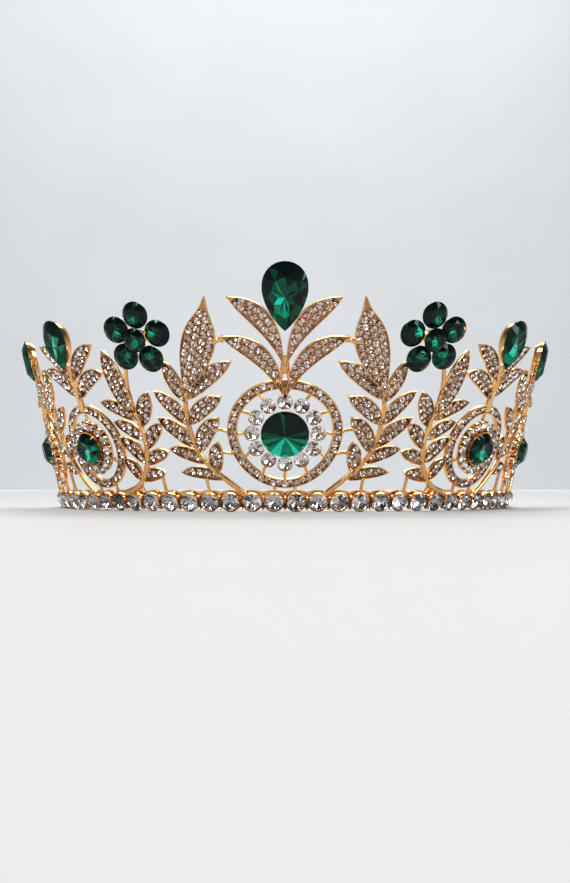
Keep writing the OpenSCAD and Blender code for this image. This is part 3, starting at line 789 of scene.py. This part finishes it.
def claw(shape, g, place, t):
    """A rounded claw that grips the stone's edge at angle t."""
    spot = edge_points(g, 72)[t // 5]
    inward = -unit(spot)
    top_z = CUP_FLOOR + STONE_GAP + g.back
    line = [(-0.12, -1.1), (-0.2, -0.2), (0.12, 0.3), (0.62, 0.46)]
    path = smooth_path([[*(spot + inward * reach), top_z + z] for reach, z in line], 4)
    along, up, _ = seat_axes(place)
    radii = np.linspace(CLAW_R, CLAW_R * 0.62, len(path))
    tube(shape, seated(path, place, CUP_W), radii, 8, up * 0.3 + along)


# Materials
def settings(node, **values):
    """Fixed values of a node's inputs, by their names with _ for each space."""
    for name, value in values.items():
        node.inputs[name.replace("_", " ")].default_value = value
    return node


def nodes_of(name, **values):
    material = bpy.data.materials.new(name)
    material.use_nodes = True
    tree = material.node_tree
    return material, tree, settings(tree.nodes["Principled BSDF"], **values)


def add_node(tree, kind, source, socket, **values):
    """A new node with one input linked and the others set."""
    node = settings(tree.nodes.new(kind), **values)
    tree.links.new(source, node.inputs[socket])
    return node


def ramp(tree, source, stops):
    node = add_node(tree, "ShaderNodeValToRGB", source, "Fac")
    while len(node.color_ramp.elements) < len(stops):
        node.color_ramp.elements.new(0.5)
    for element, (place, colour) in zip(node.color_ramp.elements, stops):
        element.position = place
        element.color = (*colour, 1)
    return node.outputs["Color"]


def coordinates(tree, kind):
    return tree.nodes.new("ShaderNodeTexCoord").outputs[kind]


def noise(tree, scale, detail=3.0):
    node = add_node(tree, "ShaderNodeTexNoise", coordinates(tree, "Object"), "Vector", Scale=scale,
                    Detail=detail)
    return node.outputs["Fac"]


def span(tree, source, low, high, start=0.3, end=0.7):
    """Stretches the source's values from start to end over low to high."""
    return add_node(tree, "ShaderNodeMapRange", source, "Value", From_Min=start, From_Max=end,
                    To_Min=low, To_Max=high).outputs["Result"]


def drift(first, second):
    return [(0.3, first), (0.7, second)]


def surface(name, scale, colours, gloss_scale, rough, marks=0.0, **values):
    """A material whose gloss varies; its colour drifts at a scale, or without one from stone to stone."""
    material, tree, shader = nodes_of(name, **values)
    source = (noise(tree, scale) if scale
              else tree.nodes.new("ShaderNodeNewGeometry").outputs["Random Per Island"])
    tree.links.new(ramp(tree, source, colours), shader.inputs["Base Color"])
    tree.links.new(span(tree, noise(tree, gloss_scale), *rough), shader.inputs["Roughness"])
    if marks:
        bump = add_node(tree, "ShaderNodeBump", noise(tree, 2600, 4.0), "Height", Strength=marks,
                        Distance=0.00004)
        tree.links.new(bump.outputs["Normal"], shader.inputs["Normal"])
    return material


def plated_gold(name, colours, rough, marks):
    """Plated metal with fine polishing marks."""
    return surface(name, 260, drift(*colours), 700, rough, marks, Metallic=1.0)


def clear_glass(name, *colours):
    return surface(name, 0, list(zip((0, 1), colours)), 500, (0.0, 0.03), Transmission_Weight=1.0, IOR=1.56)


def foil(name, rough, *colours):
    """Mirror foil on a stone's back, seen through the glass."""
    return surface(name, 0, colours, 900, rough, Metallic=1.0)


def green_facet(name, *colours):
    """Facet of a foiled green stone: half mirror, half colour, under a clear coat."""
    return surface("green_" + name, 420, drift(*colours), 900, (0.05, 0.14), Metallic=0.5,
                   Specular_IOR_Level=0.1, Coat_Weight=0.22, Coat_Roughness=0.02)


# The second gold is darker and duller: painted shade for the sunk floors under the small stones.
METALS = [
    plated_gold("gold_plate", [(0.74, 0.39, 0.13), (0.90, 0.55, 0.23)], (0.10, 0.22), 0.12),
    plated_gold("gold_painted_shade", [(0.28, 0.12, 0.05), (0.52, 0.28, 0.14)], (0.2, 0.35), 0.4),
]
# Glass over one silver foil painted in three lightnesses: painted highlight, painted shade and painted deep
# shade.
CRYSTALS = [
    clear_glass("crystal", (0.98, 0.93, 0.90), (1.0, 0.99, 0.98)),
    foil("crystal_foil", (0.03, 0.09), (0, (0.9, 0.87, 0.86)), (0.5, (0.97, 0.95, 0.94)), (1, (1, 1, 1))),
    foil("crystal_foil_shaded", (0.04, 0.1), (0, (0.58, 0.54, 0.53)), (1, (0.8, 0.77, 0.76))),
    foil("crystal_foil_painted_deep_shade", (0.05, 0.12), (0, (0.10, 0.09, 0.09)), (1, (0.22, 0.2, 0.2))),
]
# Glass over one silver foil painted in three lightnesses: painted highlight, painted shade and painted deep
# shade.
PAVE_CRYSTALS = [
    clear_glass("pave_crystal", (0.98, 0.93, 0.90), (1.0, 0.98, 0.97)),
    foil("pave_foil", (0.04, 0.12), (0, (0.98, 0.86, 0.80)), (0.4, (1, 0.94, 0.90)), (0.75, (1, 0.98, 0.96)),
         (1, (1, 1, 1))),
    foil("pave_foil_shaded", (0.04, 0.12), (0, (0.66, 0.50, 0.44)), (1, (0.90, 0.76, 0.70))),
    foil("pave_foil_painted_deep_shade", (0.05, 0.14), (0, (0.14, 0.08, 0.065)), (1, (0.3, 0.2, 0.17))),
]
# Four lightnesses of one green, picked facet by facet: painted light and shade, with teal the painted
# highlight.
GREENS = [
    green_facet("dark", (0.0005, 0.005, 0.004), (0.001, 0.012, 0.009)),
    green_facet("deep", (0.0005, 0.045, 0.024), (0.001, 0.08, 0.042)),
    green_facet("mid", (0.001, 0.19, 0.095), (0.002, 0.29, 0.15)),
    green_facet("teal", (0.005, 0.6, 0.4), (0.03, 0.85, 0.62)),
]


# The band with its cups, the wires and the eyes
BAND_STEPS = 8
CUP_BED_W = -1.5
CLAW_V = 1.75


def band_strip(shape):
    rows = []
    for i in range(-STONES_A_SIDE * BAND_STEPS, STONES_A_SIDE * BAND_STEPS + 1):
        q = i / BAND_STEPS
        h = BAND_H / 2 * (0.78 + 0.2 * abs(math.sin(math.pi * q)) ** 0.7)
        upper = [(h * 0.5, -BAND_T), (h * 0.96, -BAND_T + 0.1), (h, -BAND_T + 0.3), (h, CUP_BED_W),
                 (h * 0.9, CUP_BED_W + 0.15)]
        lower = [(-v, w) for v, w in reversed(upper)]
        v, w = np.roll(upper + lower, 2, 0).T
        rows.append(wall(q * PITCH, v, w))
    loft(shape, rows)


def band_cups(shape):
    """Round cups with claws between them, along the band."""
    r = BAND_STONE_D / 2
    profile = [(r * 0.8, CUP_BED_W), (r * 0.98, -0.9), (r + 0.1, 0.1), (r + 0.04, 0.6), (r - 0.03, 0.84),
               (r - 0.06, 0.7), (r * 0.72, -0.2), (r * 0.3, CUP_BED_W + 0.1)]
    for i in STONES:
        turned(shape, round_points(1, 1, 24), profile, at(i + 0.5, 0))
    claw_line = ((0.7, -1.4), (0.98, 0.1), (1.0, 0.95), (0.84, 1.3))
    for i in range(1 - STONES_A_SIDE, STONES_A_SIDE):
        for v in (-CLAW_V, CLAW_V):
            path = [wall(i * PITCH, v * share, w) for share, w in claw_line]
            tube(shape, smooth_path(path, 3), [0.42] * 7 + [0.38, 0.32, 0.2], 8, seat_axes(at(i, v))[0])


def band_ribs(shape):
    """Small ribs on the inner face of the band, one behind each cup."""
    for i in STONES:
        path = wall((i + 0.5) * PITCH, np.linspace(-1.7, 1.7, 7), -BAND_T + 0.05)
        tube(shape, path, [0.2, 0.5, 0.62, 0.66, 0.62, 0.5, 0.2], 8, seat_axes(at(i + 0.5, 0))[0])


def foot_wire(shape):
    above = np.array([0, 0, 1.0])
    leave = wall(WIRE_END_Q * PITCH, WIRE_V, WIRE_W)
    along = np.array([cos_deg(EYE_TURN), -sin_deg(EYE_TURN), 0])
    dock = WIRE_EYE + (WIRE_EYE_W / 2 + WIRE_R) * along
    inner = [wall(i * PITCH, WIRE_V, WIRE_W) for i in np.arange(0, WIRE_END_Q - 0.9, 0.8)]
    free = [leave + (dock - leave) * [f, g, g] for f, g in FREE_WIRE]
    tube(shape, smooth_path(inner + [leave] + free + [dock], 4), WIRE_R, 14)
    ring = [WIRE_EYE + (WIRE_EYE_W / 2 + WIRE_R * 0.9) * math.cos(t) * along
            + (WIRE_EYE_H / 2 + WIRE_R) * math.sin(t) * above for t in circle(40)]
    tube(shape, ring, WIRE_R * 0.9, 14, np.cross(along, above), loop=True)
    for q in (5.5, 11.5, WIRE_END_Q):
        bead(shape, wall(q * PITCH, WIRE_V + 0.2, -BAND_T - 0.1), -seat_axes(at(q, 0))[2], 1.15, 12, 0.85, 5)


# Branches, sprays and their pave; the first two leaves of a branch and the middle spray's stand off a little
FIRST_RISES = (0.75, -0.5)
MIDDLE_SPRAY_RISE = 0.9
PAVE_D = 2.05
RING_PAVE_D = 1.9


def branch_leaves(number):
    h = BRANCH_H[number]
    places, heights = zip(*STEMS[number])
    for i, (up, tip_q, tip_up, width, bow) in enumerate(LEAVES[number]):
        foot = at(np.interp(up, heights, places), up * h)
        yield Leaf(foot, at(tip_q, tip_up * h), width * LEAF_W, bow, FIRST_RISES[i] if i < 2 else 0,
                   BIG_TABLE if width * LEAF_W > BIG_LEAF_W else COMMON_TABLE)


def spray_leaves(place, rows, half_w, h, rise=0.0, table=COMMON_TABLE):
    for x0, up0, x1, up1, width, bow in rows:
        base, tip = ([place[0] + x * half_w / stretch(place[0], up * h), up * h]
                     for x, up in ((x0, up0), (x1, up1)))
        yield Leaf(base, tip, width * LEAF_W, bow, rise, table)


def right_leaves():
    for number in STEMS:
        yield from branch_leaves(number)
    yield from spray_leaves(MIDDLE, SPRAY_1, RING_R, DROP_V, MIDDLE_SPRAY_RISE, SPRAY_TABLE)
    for motif in MOTIFS:
        yield from spray_leaves(motif.place, SPRAY_2, motif.a, motif.h)


# Stems and posts
STEM_GROW = 1.12
POST_R = 0.5
SPOKE_R = 0.46


def stems(shape):
    for number, rows in STEMS.items():
        places = [at(q, up * BRANCH_H[number]) for q, up in rows]
        r0, r1 = (STEM_R * share for share in STEM_SHARES[number])
        wall_tube(shape, places, r0 * STEM_GROW, r1 * STEM_GROW, 0.9)
        bead(shape, wall(*places[0], 0.1), out(*places[0]), r0 * 1.25, 10, 0.8, 4)
    for motif in MOTIFS:
        s, v = motif.drop_place
        wall_tube(shape, [(s, v * 0.58), (s, v * 0.7), (s, v - motif.drop.b + 0.6)],
                  STEM_R * 1.4, STEM_R * 1.2, 0.9)


def halo_edge(motif, share=1.0):
    """Half width and height of the oval round a halo, or round a share of it."""
    more = STONE_GAP + BEZEL_T + motif.halo_w * share
    return motif.oval.a + more, motif.oval.b + more


def motif_posts(motif):
    """Ends of the posts under a motif's ring and of the three between its halo and its ring."""
    place, a, k_x = motif.place, motif.a, stretch(*motif.place)
    file_a, file_b = (half - PAVE_W * motif.k / 2 for half in (a, motif.b))
    for q in motif.feet:
        x = (q * PITCH - place[0]) * k_x
        yield at(q, POST_FOOT), at(q, place[1] - file_b * math.sqrt(1 - (x / a) ** 2))
    halo_a, halo_b = (half - 0.4 for half in halo_edge(motif))
    for t in (90, 210, 330):
        yield oval_place(place, halo_a, halo_b, t), oval_place(place, file_a, file_b, t)


def posts(shape):
    feet = [(0.45, 0.45, RING_FOOT + 0.7), (3.45, 3.45, 0.125 * BRANCH_H[1]), (5.6, 5.6, 0.17 * BRANCH_H[2]),
            (12.45, 12.4, 0.25 * BRANCH_H[3]), (17.7, 17.75, 0.25 * BRANCH_H[4])]
    pairs = [(at(q, POST_FOOT), at(top_q, top_v)) for q, top_q, top_v in feet]
    pairs += [((RING_R * 0.87, RING_V + 1), at(2.75, RING_V + 1.7)),
              ((RING_R * 0.83, RING_V - 5.5), at(2.7, RING_V - 5.3))]
    for motif in MOTIFS:
        pairs += motif_posts(motif)
    for start, end in pairs:
        post(shape, start, end, POST_R, -0.2)
    post(shape, (RING_R * 0.8, 0.8 * DROP_V), at(2.38, 0.79 * BRANCH_H[1]), 0.85, -0.5)
    behind_drop = DROP_V - DROP_H * 0.34
    post(shape, (RING_R * 0.22, behind_drop), (RING_R * 0.12, behind_drop), 0.36, -0.8)


def middle_spokes(shape):
    inner, outer = MIDDLE_SET_R + RING_STONE_D * 0.3, RING_R - PAVE_W * 0.7
    for t in np.arange(MIDDLE_STONES) * 360 / MIDDLE_STONES:
        start = oval_place(MIDDLE, inner, inner, t) + RIVOLI - MIDDLE
        post(shape, start, oval_place(MIDDLE, outer, outer, t), SPOKE_R)


# The cups; what shows of a green stone reaches a little over its cup's edge
RIVOLI_GROW = 0.22
EYE_GROW = 0.4
PETAL_GROW = 0.52
OVAL_GROW = 0.45
CLEAR_GROW = 0.15
CLEAR_BACK = 0.72
DIAGONALS = (45, 135, 225, 315)


def small_cup(shape, place, centre, r, w_low, w_high, roll, n):
    """Round cup of one small stone, with four beads over its edge."""
    profile = [(r * 0.7, w_low), (r * 0.95, w_low + 0.4), (r + 0.12, w_high - 0.06), (r + 0.02, w_high),
               (r, w_high - 0.2), (r * 0.3, w_low + 0.15)]
    turned(shape, round_points(1, 1, n), profile, place, 0, roll, centre)
    for t in DIAGONALS:
        spot = [centre[0] + (r + 0.1) * cos_deg(t), centre[1] + (r + 0.1) * sin_deg(t), w_high]
        bead(shape, seated(spot, place, 0, roll), seat_axes(place)[2], 0.24, 6, 1.1, 2)


def halo_places(motif):
    k = motif.k
    r = STONE_GAP + BEZEL_T + HALO_D * 0.08 + HALO_D * k / 2
    a, b = motif.oval.a + r, motif.oval.b + r
    for t in even_angles(a, b, HALO_D * (k + 0.085)):
        yield a * sin_deg(t), b * cos_deg(t), t


def halo_cups(shape):
    for motif in MOTIFS:
        for x, y, _ in halo_places(motif):
            small_cup(shape, motif.place, (x, y), HALO_D * motif.k / 2, -0.5, 1.2, 0, 12)


def middle_cups(shape):
    for roll in MIDDLE_ROLLS:
        small_cup(shape, RIVOLI, (MIDDLE_SET_R, 0), RING_STONE_D / 2, -0.6, 1.25, roll, 20)


def gem_cups(whole):
    """Cups of the green stones on the right side, and of the two in the middle."""
    side = Shape()
    for motif in MOTIFS:
        cup(side, motif.drop, motif.drop_place)
        cup(side, motif.oval, motif.place, tuck=-0.28, foot=0.92)
        for t in DIAGONALS:
            claw(side, motif.oval, motif.place, t)
    cup(side, END_DROP_CUT, END_PLACE)
    cup(side, EYE_CUT, FLOWER, raised=EYE_LIFT, tuck=0.1, foot=0.62)
    for roll in PETAL_ROLLS:
        cup(side, PETAL_CUT, FLOWER, roll, (PETAL_RING_R, 0), tuck=0.1)
    stalk = seated([[0, 0, z] for z in np.linspace(0, EYE_LIFT + 0.4, 5)], FLOWER, CUP_W)
    tube(side, stalk, [2.0, 1.8, 1.6, 1.5, 1.5], 16, seat_axes(FLOWER)[0])
    whole.join(on_sides(side))
    cup(whole, RIVOLI_CUT, RIVOLI, tuck=-0.2, foot=0.92, n=48)
    cup(whole, TOP_DROP_CUT, TOP_DROP, n=48)


def halo_plate(shape, motif):
    """Flat oval plate that carries the small cups."""
    a0, b0 = motif.oval.a * 0.9, motif.oval.b * 0.9
    a1, b1 = halo_edge(motif, 0.72)
    profile = [(a0, b0, 0), (a1, b1, 0), (a1 + 0.15, b1 + 0.15, 0.3), (a1, b1, 0.6), (a0, b0, 0.6)]
    loft(shape, [seated(lift(round_points(a, b, 48), 1, z), motif.place, CUP_W) for a, b, z in profile], True)


def middle_stem(shape):
    for side in (-1, 1):
        r = side * STEM_R
        places = [(r * 1.3, RING_V + RING_R - PAVE_W), (r * 0.95, 0.65 * DROP_V), (r * 0.5, 0.71 * DROP_V)]
        wall_tube(shape, places, STEM_R * 0.55, STEM_R * 0.6)
    line = wall(0.0, np.linspace(RING_V + RING_R + 1.6, 0.725 * DROP_V, 6), 0.35)
    tube(shape, line, [0.5, 0.95, 1.15, 1.15, 0.95, 0.4], 12, out(0.0, DROP_V), 0.7)


def built(part):
    shape = Shape()
    part(shape)
    return shape


def build_metal():
    pave, middle_pave = new_pave(), new_pave()
    plates, rings, middle = Shape(), Shape(), Shape()
    for leaf in right_leaves():
        leaf_plate(plates, leaf)
        pave_leaf(pave, leaf, PAVE_D)
    for motif in MOTIFS:
        k = motif.k
        pave_ring(rings, pave, motif.place, motif.a, motif.b, PAVE_W * k, RING_PAVE_D * k, 84, 0.26 * k)
        halo_plate(rings, motif)
    pave_ring(middle, middle_pave, MIDDLE, RING_R, RING_R, PAVE_W, RING_PAVE_D, 108, 0.28, 13)
    chance = np.random.default_rng(SEED)
    stones = on_sides(pave_shape(pave, chance))
    stones.join(pave_shape(middle_pave, chance))
    beads = on_sides(pave_beads(pave))
    beads.join(pave_beads(middle_pave))
    for part in (middle_spokes, middle_cups, middle_stem):
        part(middle)
    for name, shape in (
            ("band_strip", built(band_strip)), ("band_cups", built(band_cups)),
            ("band_ribs", built(band_ribs)), ("foot_wires", on_sides(built(foot_wire))),
            ("leaf_plates", on_sides(plates)), ("oval_rings", on_sides(rings)), ("middle_ring", middle),
            ("stems", on_sides(built(stems))), ("posts", on_sides(built(posts))),
            ("stone_cups", built(gem_cups)), ("halo_cups", on_sides(built(halo_cups)))):
        make(name, shape, METALS, ["frame"])
    make("pave_stones", stones, PAVE_CRYSTALS, smooth=False)
    make("pave_beads", beads, METALS)


# The stones
def clear_cut(d, grow, crown, node_back, bed=0.0):
    """A clear stone wider than its node, and its tip's height that keeps its edge where the node's is."""
    half = (d + grow) / 2
    return gem(half, half, CLEAR_BACK, crown, table=0.58), bed + STONE_GAP + (node_back - CLEAR_BACK) * d / 2


def grown(g, wider, higher):
    """The same stone with its edge further out, over its cup."""
    return g._replace(a=g.a + wider, b=g.b + higher)


def make_clear(name, shape, node):
    make(name, shape, CRYSTALS, [node], smooth=False)


def make_green(node, side, g, place, chance, w=SEAT_W, cut=green_brilliant, name=None, **how):
    """A green stone as a piece of its own, which stands for its node."""
    shape = Shape()
    add_stone(shape, g, place, w, chance, cut=cut, **how)
    make((name or node) + "_cut", on_sides(shape, side), GREENS, [node], smooth=False)


def build_side_stones(side, chance):
    for motif in MOTIFS:
        halo = Shape()
        stone, w = clear_cut(HALO_D * motif.k, CLEAR_GROW, 0.42, 0.36, PLATE_T / 2)
        for x, y, t in halo_places(motif):
            add_stone(halo, stone, motif.place, w, chance, offset=(x, y), n=6, turn=t * 3)
        name = "%d_%s" % (motif.number, side)
        make_clear("halo_%s_cut" % name, on_sides(halo, side), "halo_" + name)
        make_green("drop_" + name, side, motif.drop, motif.drop_place, chance)
        make_green("oval_" + name, side, grown(motif.oval, OVAL_GROW, 0), motif.place, chance)
    make_green("end_drop_" + side, side, END_DROP_CUT, END_PLACE, chance)
    eye, petal = grown(EYE_CUT, EYE_GROW, EYE_GROW), grown(PETAL_CUT, PETAL_GROW, PETAL_GROW)
    make_green("flower_%s_eye" % side, side, eye, FLOWER, chance, SEAT_W + EYE_LIFT)
    for i, roll in enumerate(PETAL_ROLLS):
        make_green("flower_%s_%d" % (side, i + 1), side, petal, FLOWER, chance, roll=roll,
                   offset=(PETAL_RING_R, 0))


def build_stones():
    chance = np.random.default_rng(SEED + 1)
    band, ring = Shape(), Shape()
    stone, w = clear_cut(BAND_STONE_D, -0.08, 0.34, 0.28)
    for i in STONES:
        add_stone(band, stone, at(i + 0.5, 0), w, chance, turn=(i * 17) % 45)
    make_clear("band_brilliants", band, "band_stones")
    stone, w = clear_cut(RING_STONE_D, 2 * CLEAR_GROW, 0.36, 0.3, PLATE_T / 2)
    for i, roll in enumerate(MIDDLE_ROLLS):
        add_stone(ring, stone, RIVOLI, w, chance, roll, (MIDDLE_SET_R, 0), turn=(i * 23) % 45)
    make_clear("ring_brilliants", ring, "middle_ring_stones")
    round_stone = grown(RIVOLI_CUT, RIVOLI_GROW, RIVOLI_GROW)
    make_green("middle_rivoli", "right", round_stone, RIVOLI, chance, cut=rivoli, name="rivoli", n=14)
    make_green("middle_drop", "right", TOP_DROP_CUT, TOP_DROP, chance, name="top_drop", n=10)
    for side in ("right", "left"):
        build_side_stones(side, chance)


# Floor, light and camera
IMAGE_H = 883
FOCAL_PX = 1000
CAMERA_BACK = 283
CAMERA_UP = 8
AIM_UP = 20
STAGE_HALF = 2.2
BACKDROP_Y = 1.1
BACKDROP_TOP = 2.4
FLOOR_SHINE = 0.6


def stage_plane(name, near, far, colour, rough):
    """A plane across the scene between two lines, each given by its y and z."""
    material, tree, shader = nodes_of(name, Roughness=rough)
    darker = tuple(0.96 * c for c in colour)
    tree.links.new(ramp(tree, noise(tree, 8), drift(darker, colour)), shader.inputs["Base Color"])
    corners = [(-STAGE_HALF, *near), (STAGE_HALF, *near), (STAGE_HALF, *far), (-STAGE_HALF, *far)]
    new_mesh(name, corners, [(0, 1, 2, 3)], material)
    return tree, shader


def build_stage():
    tree, shader = stage_plane("floor", (-STAGE_HALF, 0), (BACKDROP_Y, 0), (0.58, 0.58, 0.58), 0.6)
    stage_plane("backdrop", (BACKDROP_Y, 0), (BACKDROP_Y, BACKDROP_TOP), (0.76, 0.79, 0.82), 0.9)
    # Far from the lights the floor shines a little itself, so that it stays pale all over
    away = add_node(tree, "ShaderNodeVectorMath", coordinates(tree, "Object"), 0)
    away.operation = "LENGTH"
    rise = span(tree, away.outputs["Value"], 0, FLOOR_SHINE, 0.4, 1.5)
    tree.links.new(rise, shader.inputs["Emission Strength"])
    settings(shader, Emission_Color=(1, 1, 1, 1))


def aimed(name, data, place, aim):
    """A light or a camera at a place, turned to its aim."""
    holder = linked(name, data)
    holder.location = place
    holder.rotation_euler = (Vector(aim) - Vector(place)).to_track_quat("-Z", "Y").to_euler()
    return holder


def area_light(name, place, size, power, colour=(1, 1, 1), aim=(0, 0, 0.03)):
    light = bpy.data.lights.new(name, "AREA")
    light.shape = "RECTANGLE"
    light.size, light.size_y = size
    light.energy = power
    light.color = colour
    aimed(name, light, place, aim)


def build_light():
    area_light("key", (-0.35, -0.45, 0.6), (0.3, 0.3), 4.5, (1, 0.98, 0.95))
    area_light("fill", (0.6, -0.4, 0.3), (0.2, 0.45), 2.5, (0.95, 0.98, 1))
    area_light("wall_wash", (0, 0.5, 1.0), (1.2, 0.3), 4.5, aim=(0, 1.1, 0.35))
    area_light("over", (0.05, 0.3, 0.7), (0.6, 0.3), 3.5)
    world = bpy.data.worlds.new("studio")
    bpy.context.scene.world = world
    world.use_nodes = True
    tree = world.node_tree
    height = add_node(tree, "ShaderNodeSeparateXYZ", coordinates(tree, "Generated"), "Vector").outputs["Z"]
    colour = ramp(tree, span(tree, height, 0, 1, -1, 1), [
        (0.0, (0.42, 0.42, 0.42)), (0.5, (0.66, 0.66, 0.67)), (0.57, (0.34, 0.35, 0.36)),
        (0.72, (0.06, 0.06, 0.065)), (0.9, (0.10, 0.10, 0.10)), (1.0, (0.5, 0.5, 0.5))])
    tree.links.new(colour, tree.nodes["Background"].inputs["Color"])
    bpy.context.scene.view_settings.view_transform = "Standard"


def build_camera():
    band_front = wall(0.0, 0.0)[1] + SHIFT[1]
    data = bpy.data.cameras.new("camera")
    data.sensor_fit = "VERTICAL"
    data.sensor_height = 36
    data.lens = FOCAL_PX / IMAGE_H * data.sensor_height
    data.clip_start = 0.01
    place, aim = (0, band_front - CAMERA_BACK, CAMERA_UP), (0, band_front, AIM_UP)
    bpy.context.scene.camera = aimed("camera", data, Vector(place) * MM, Vector(aim) * MM)


build_camera()
build_stage()
build_light()
build_metal()
build_stones()
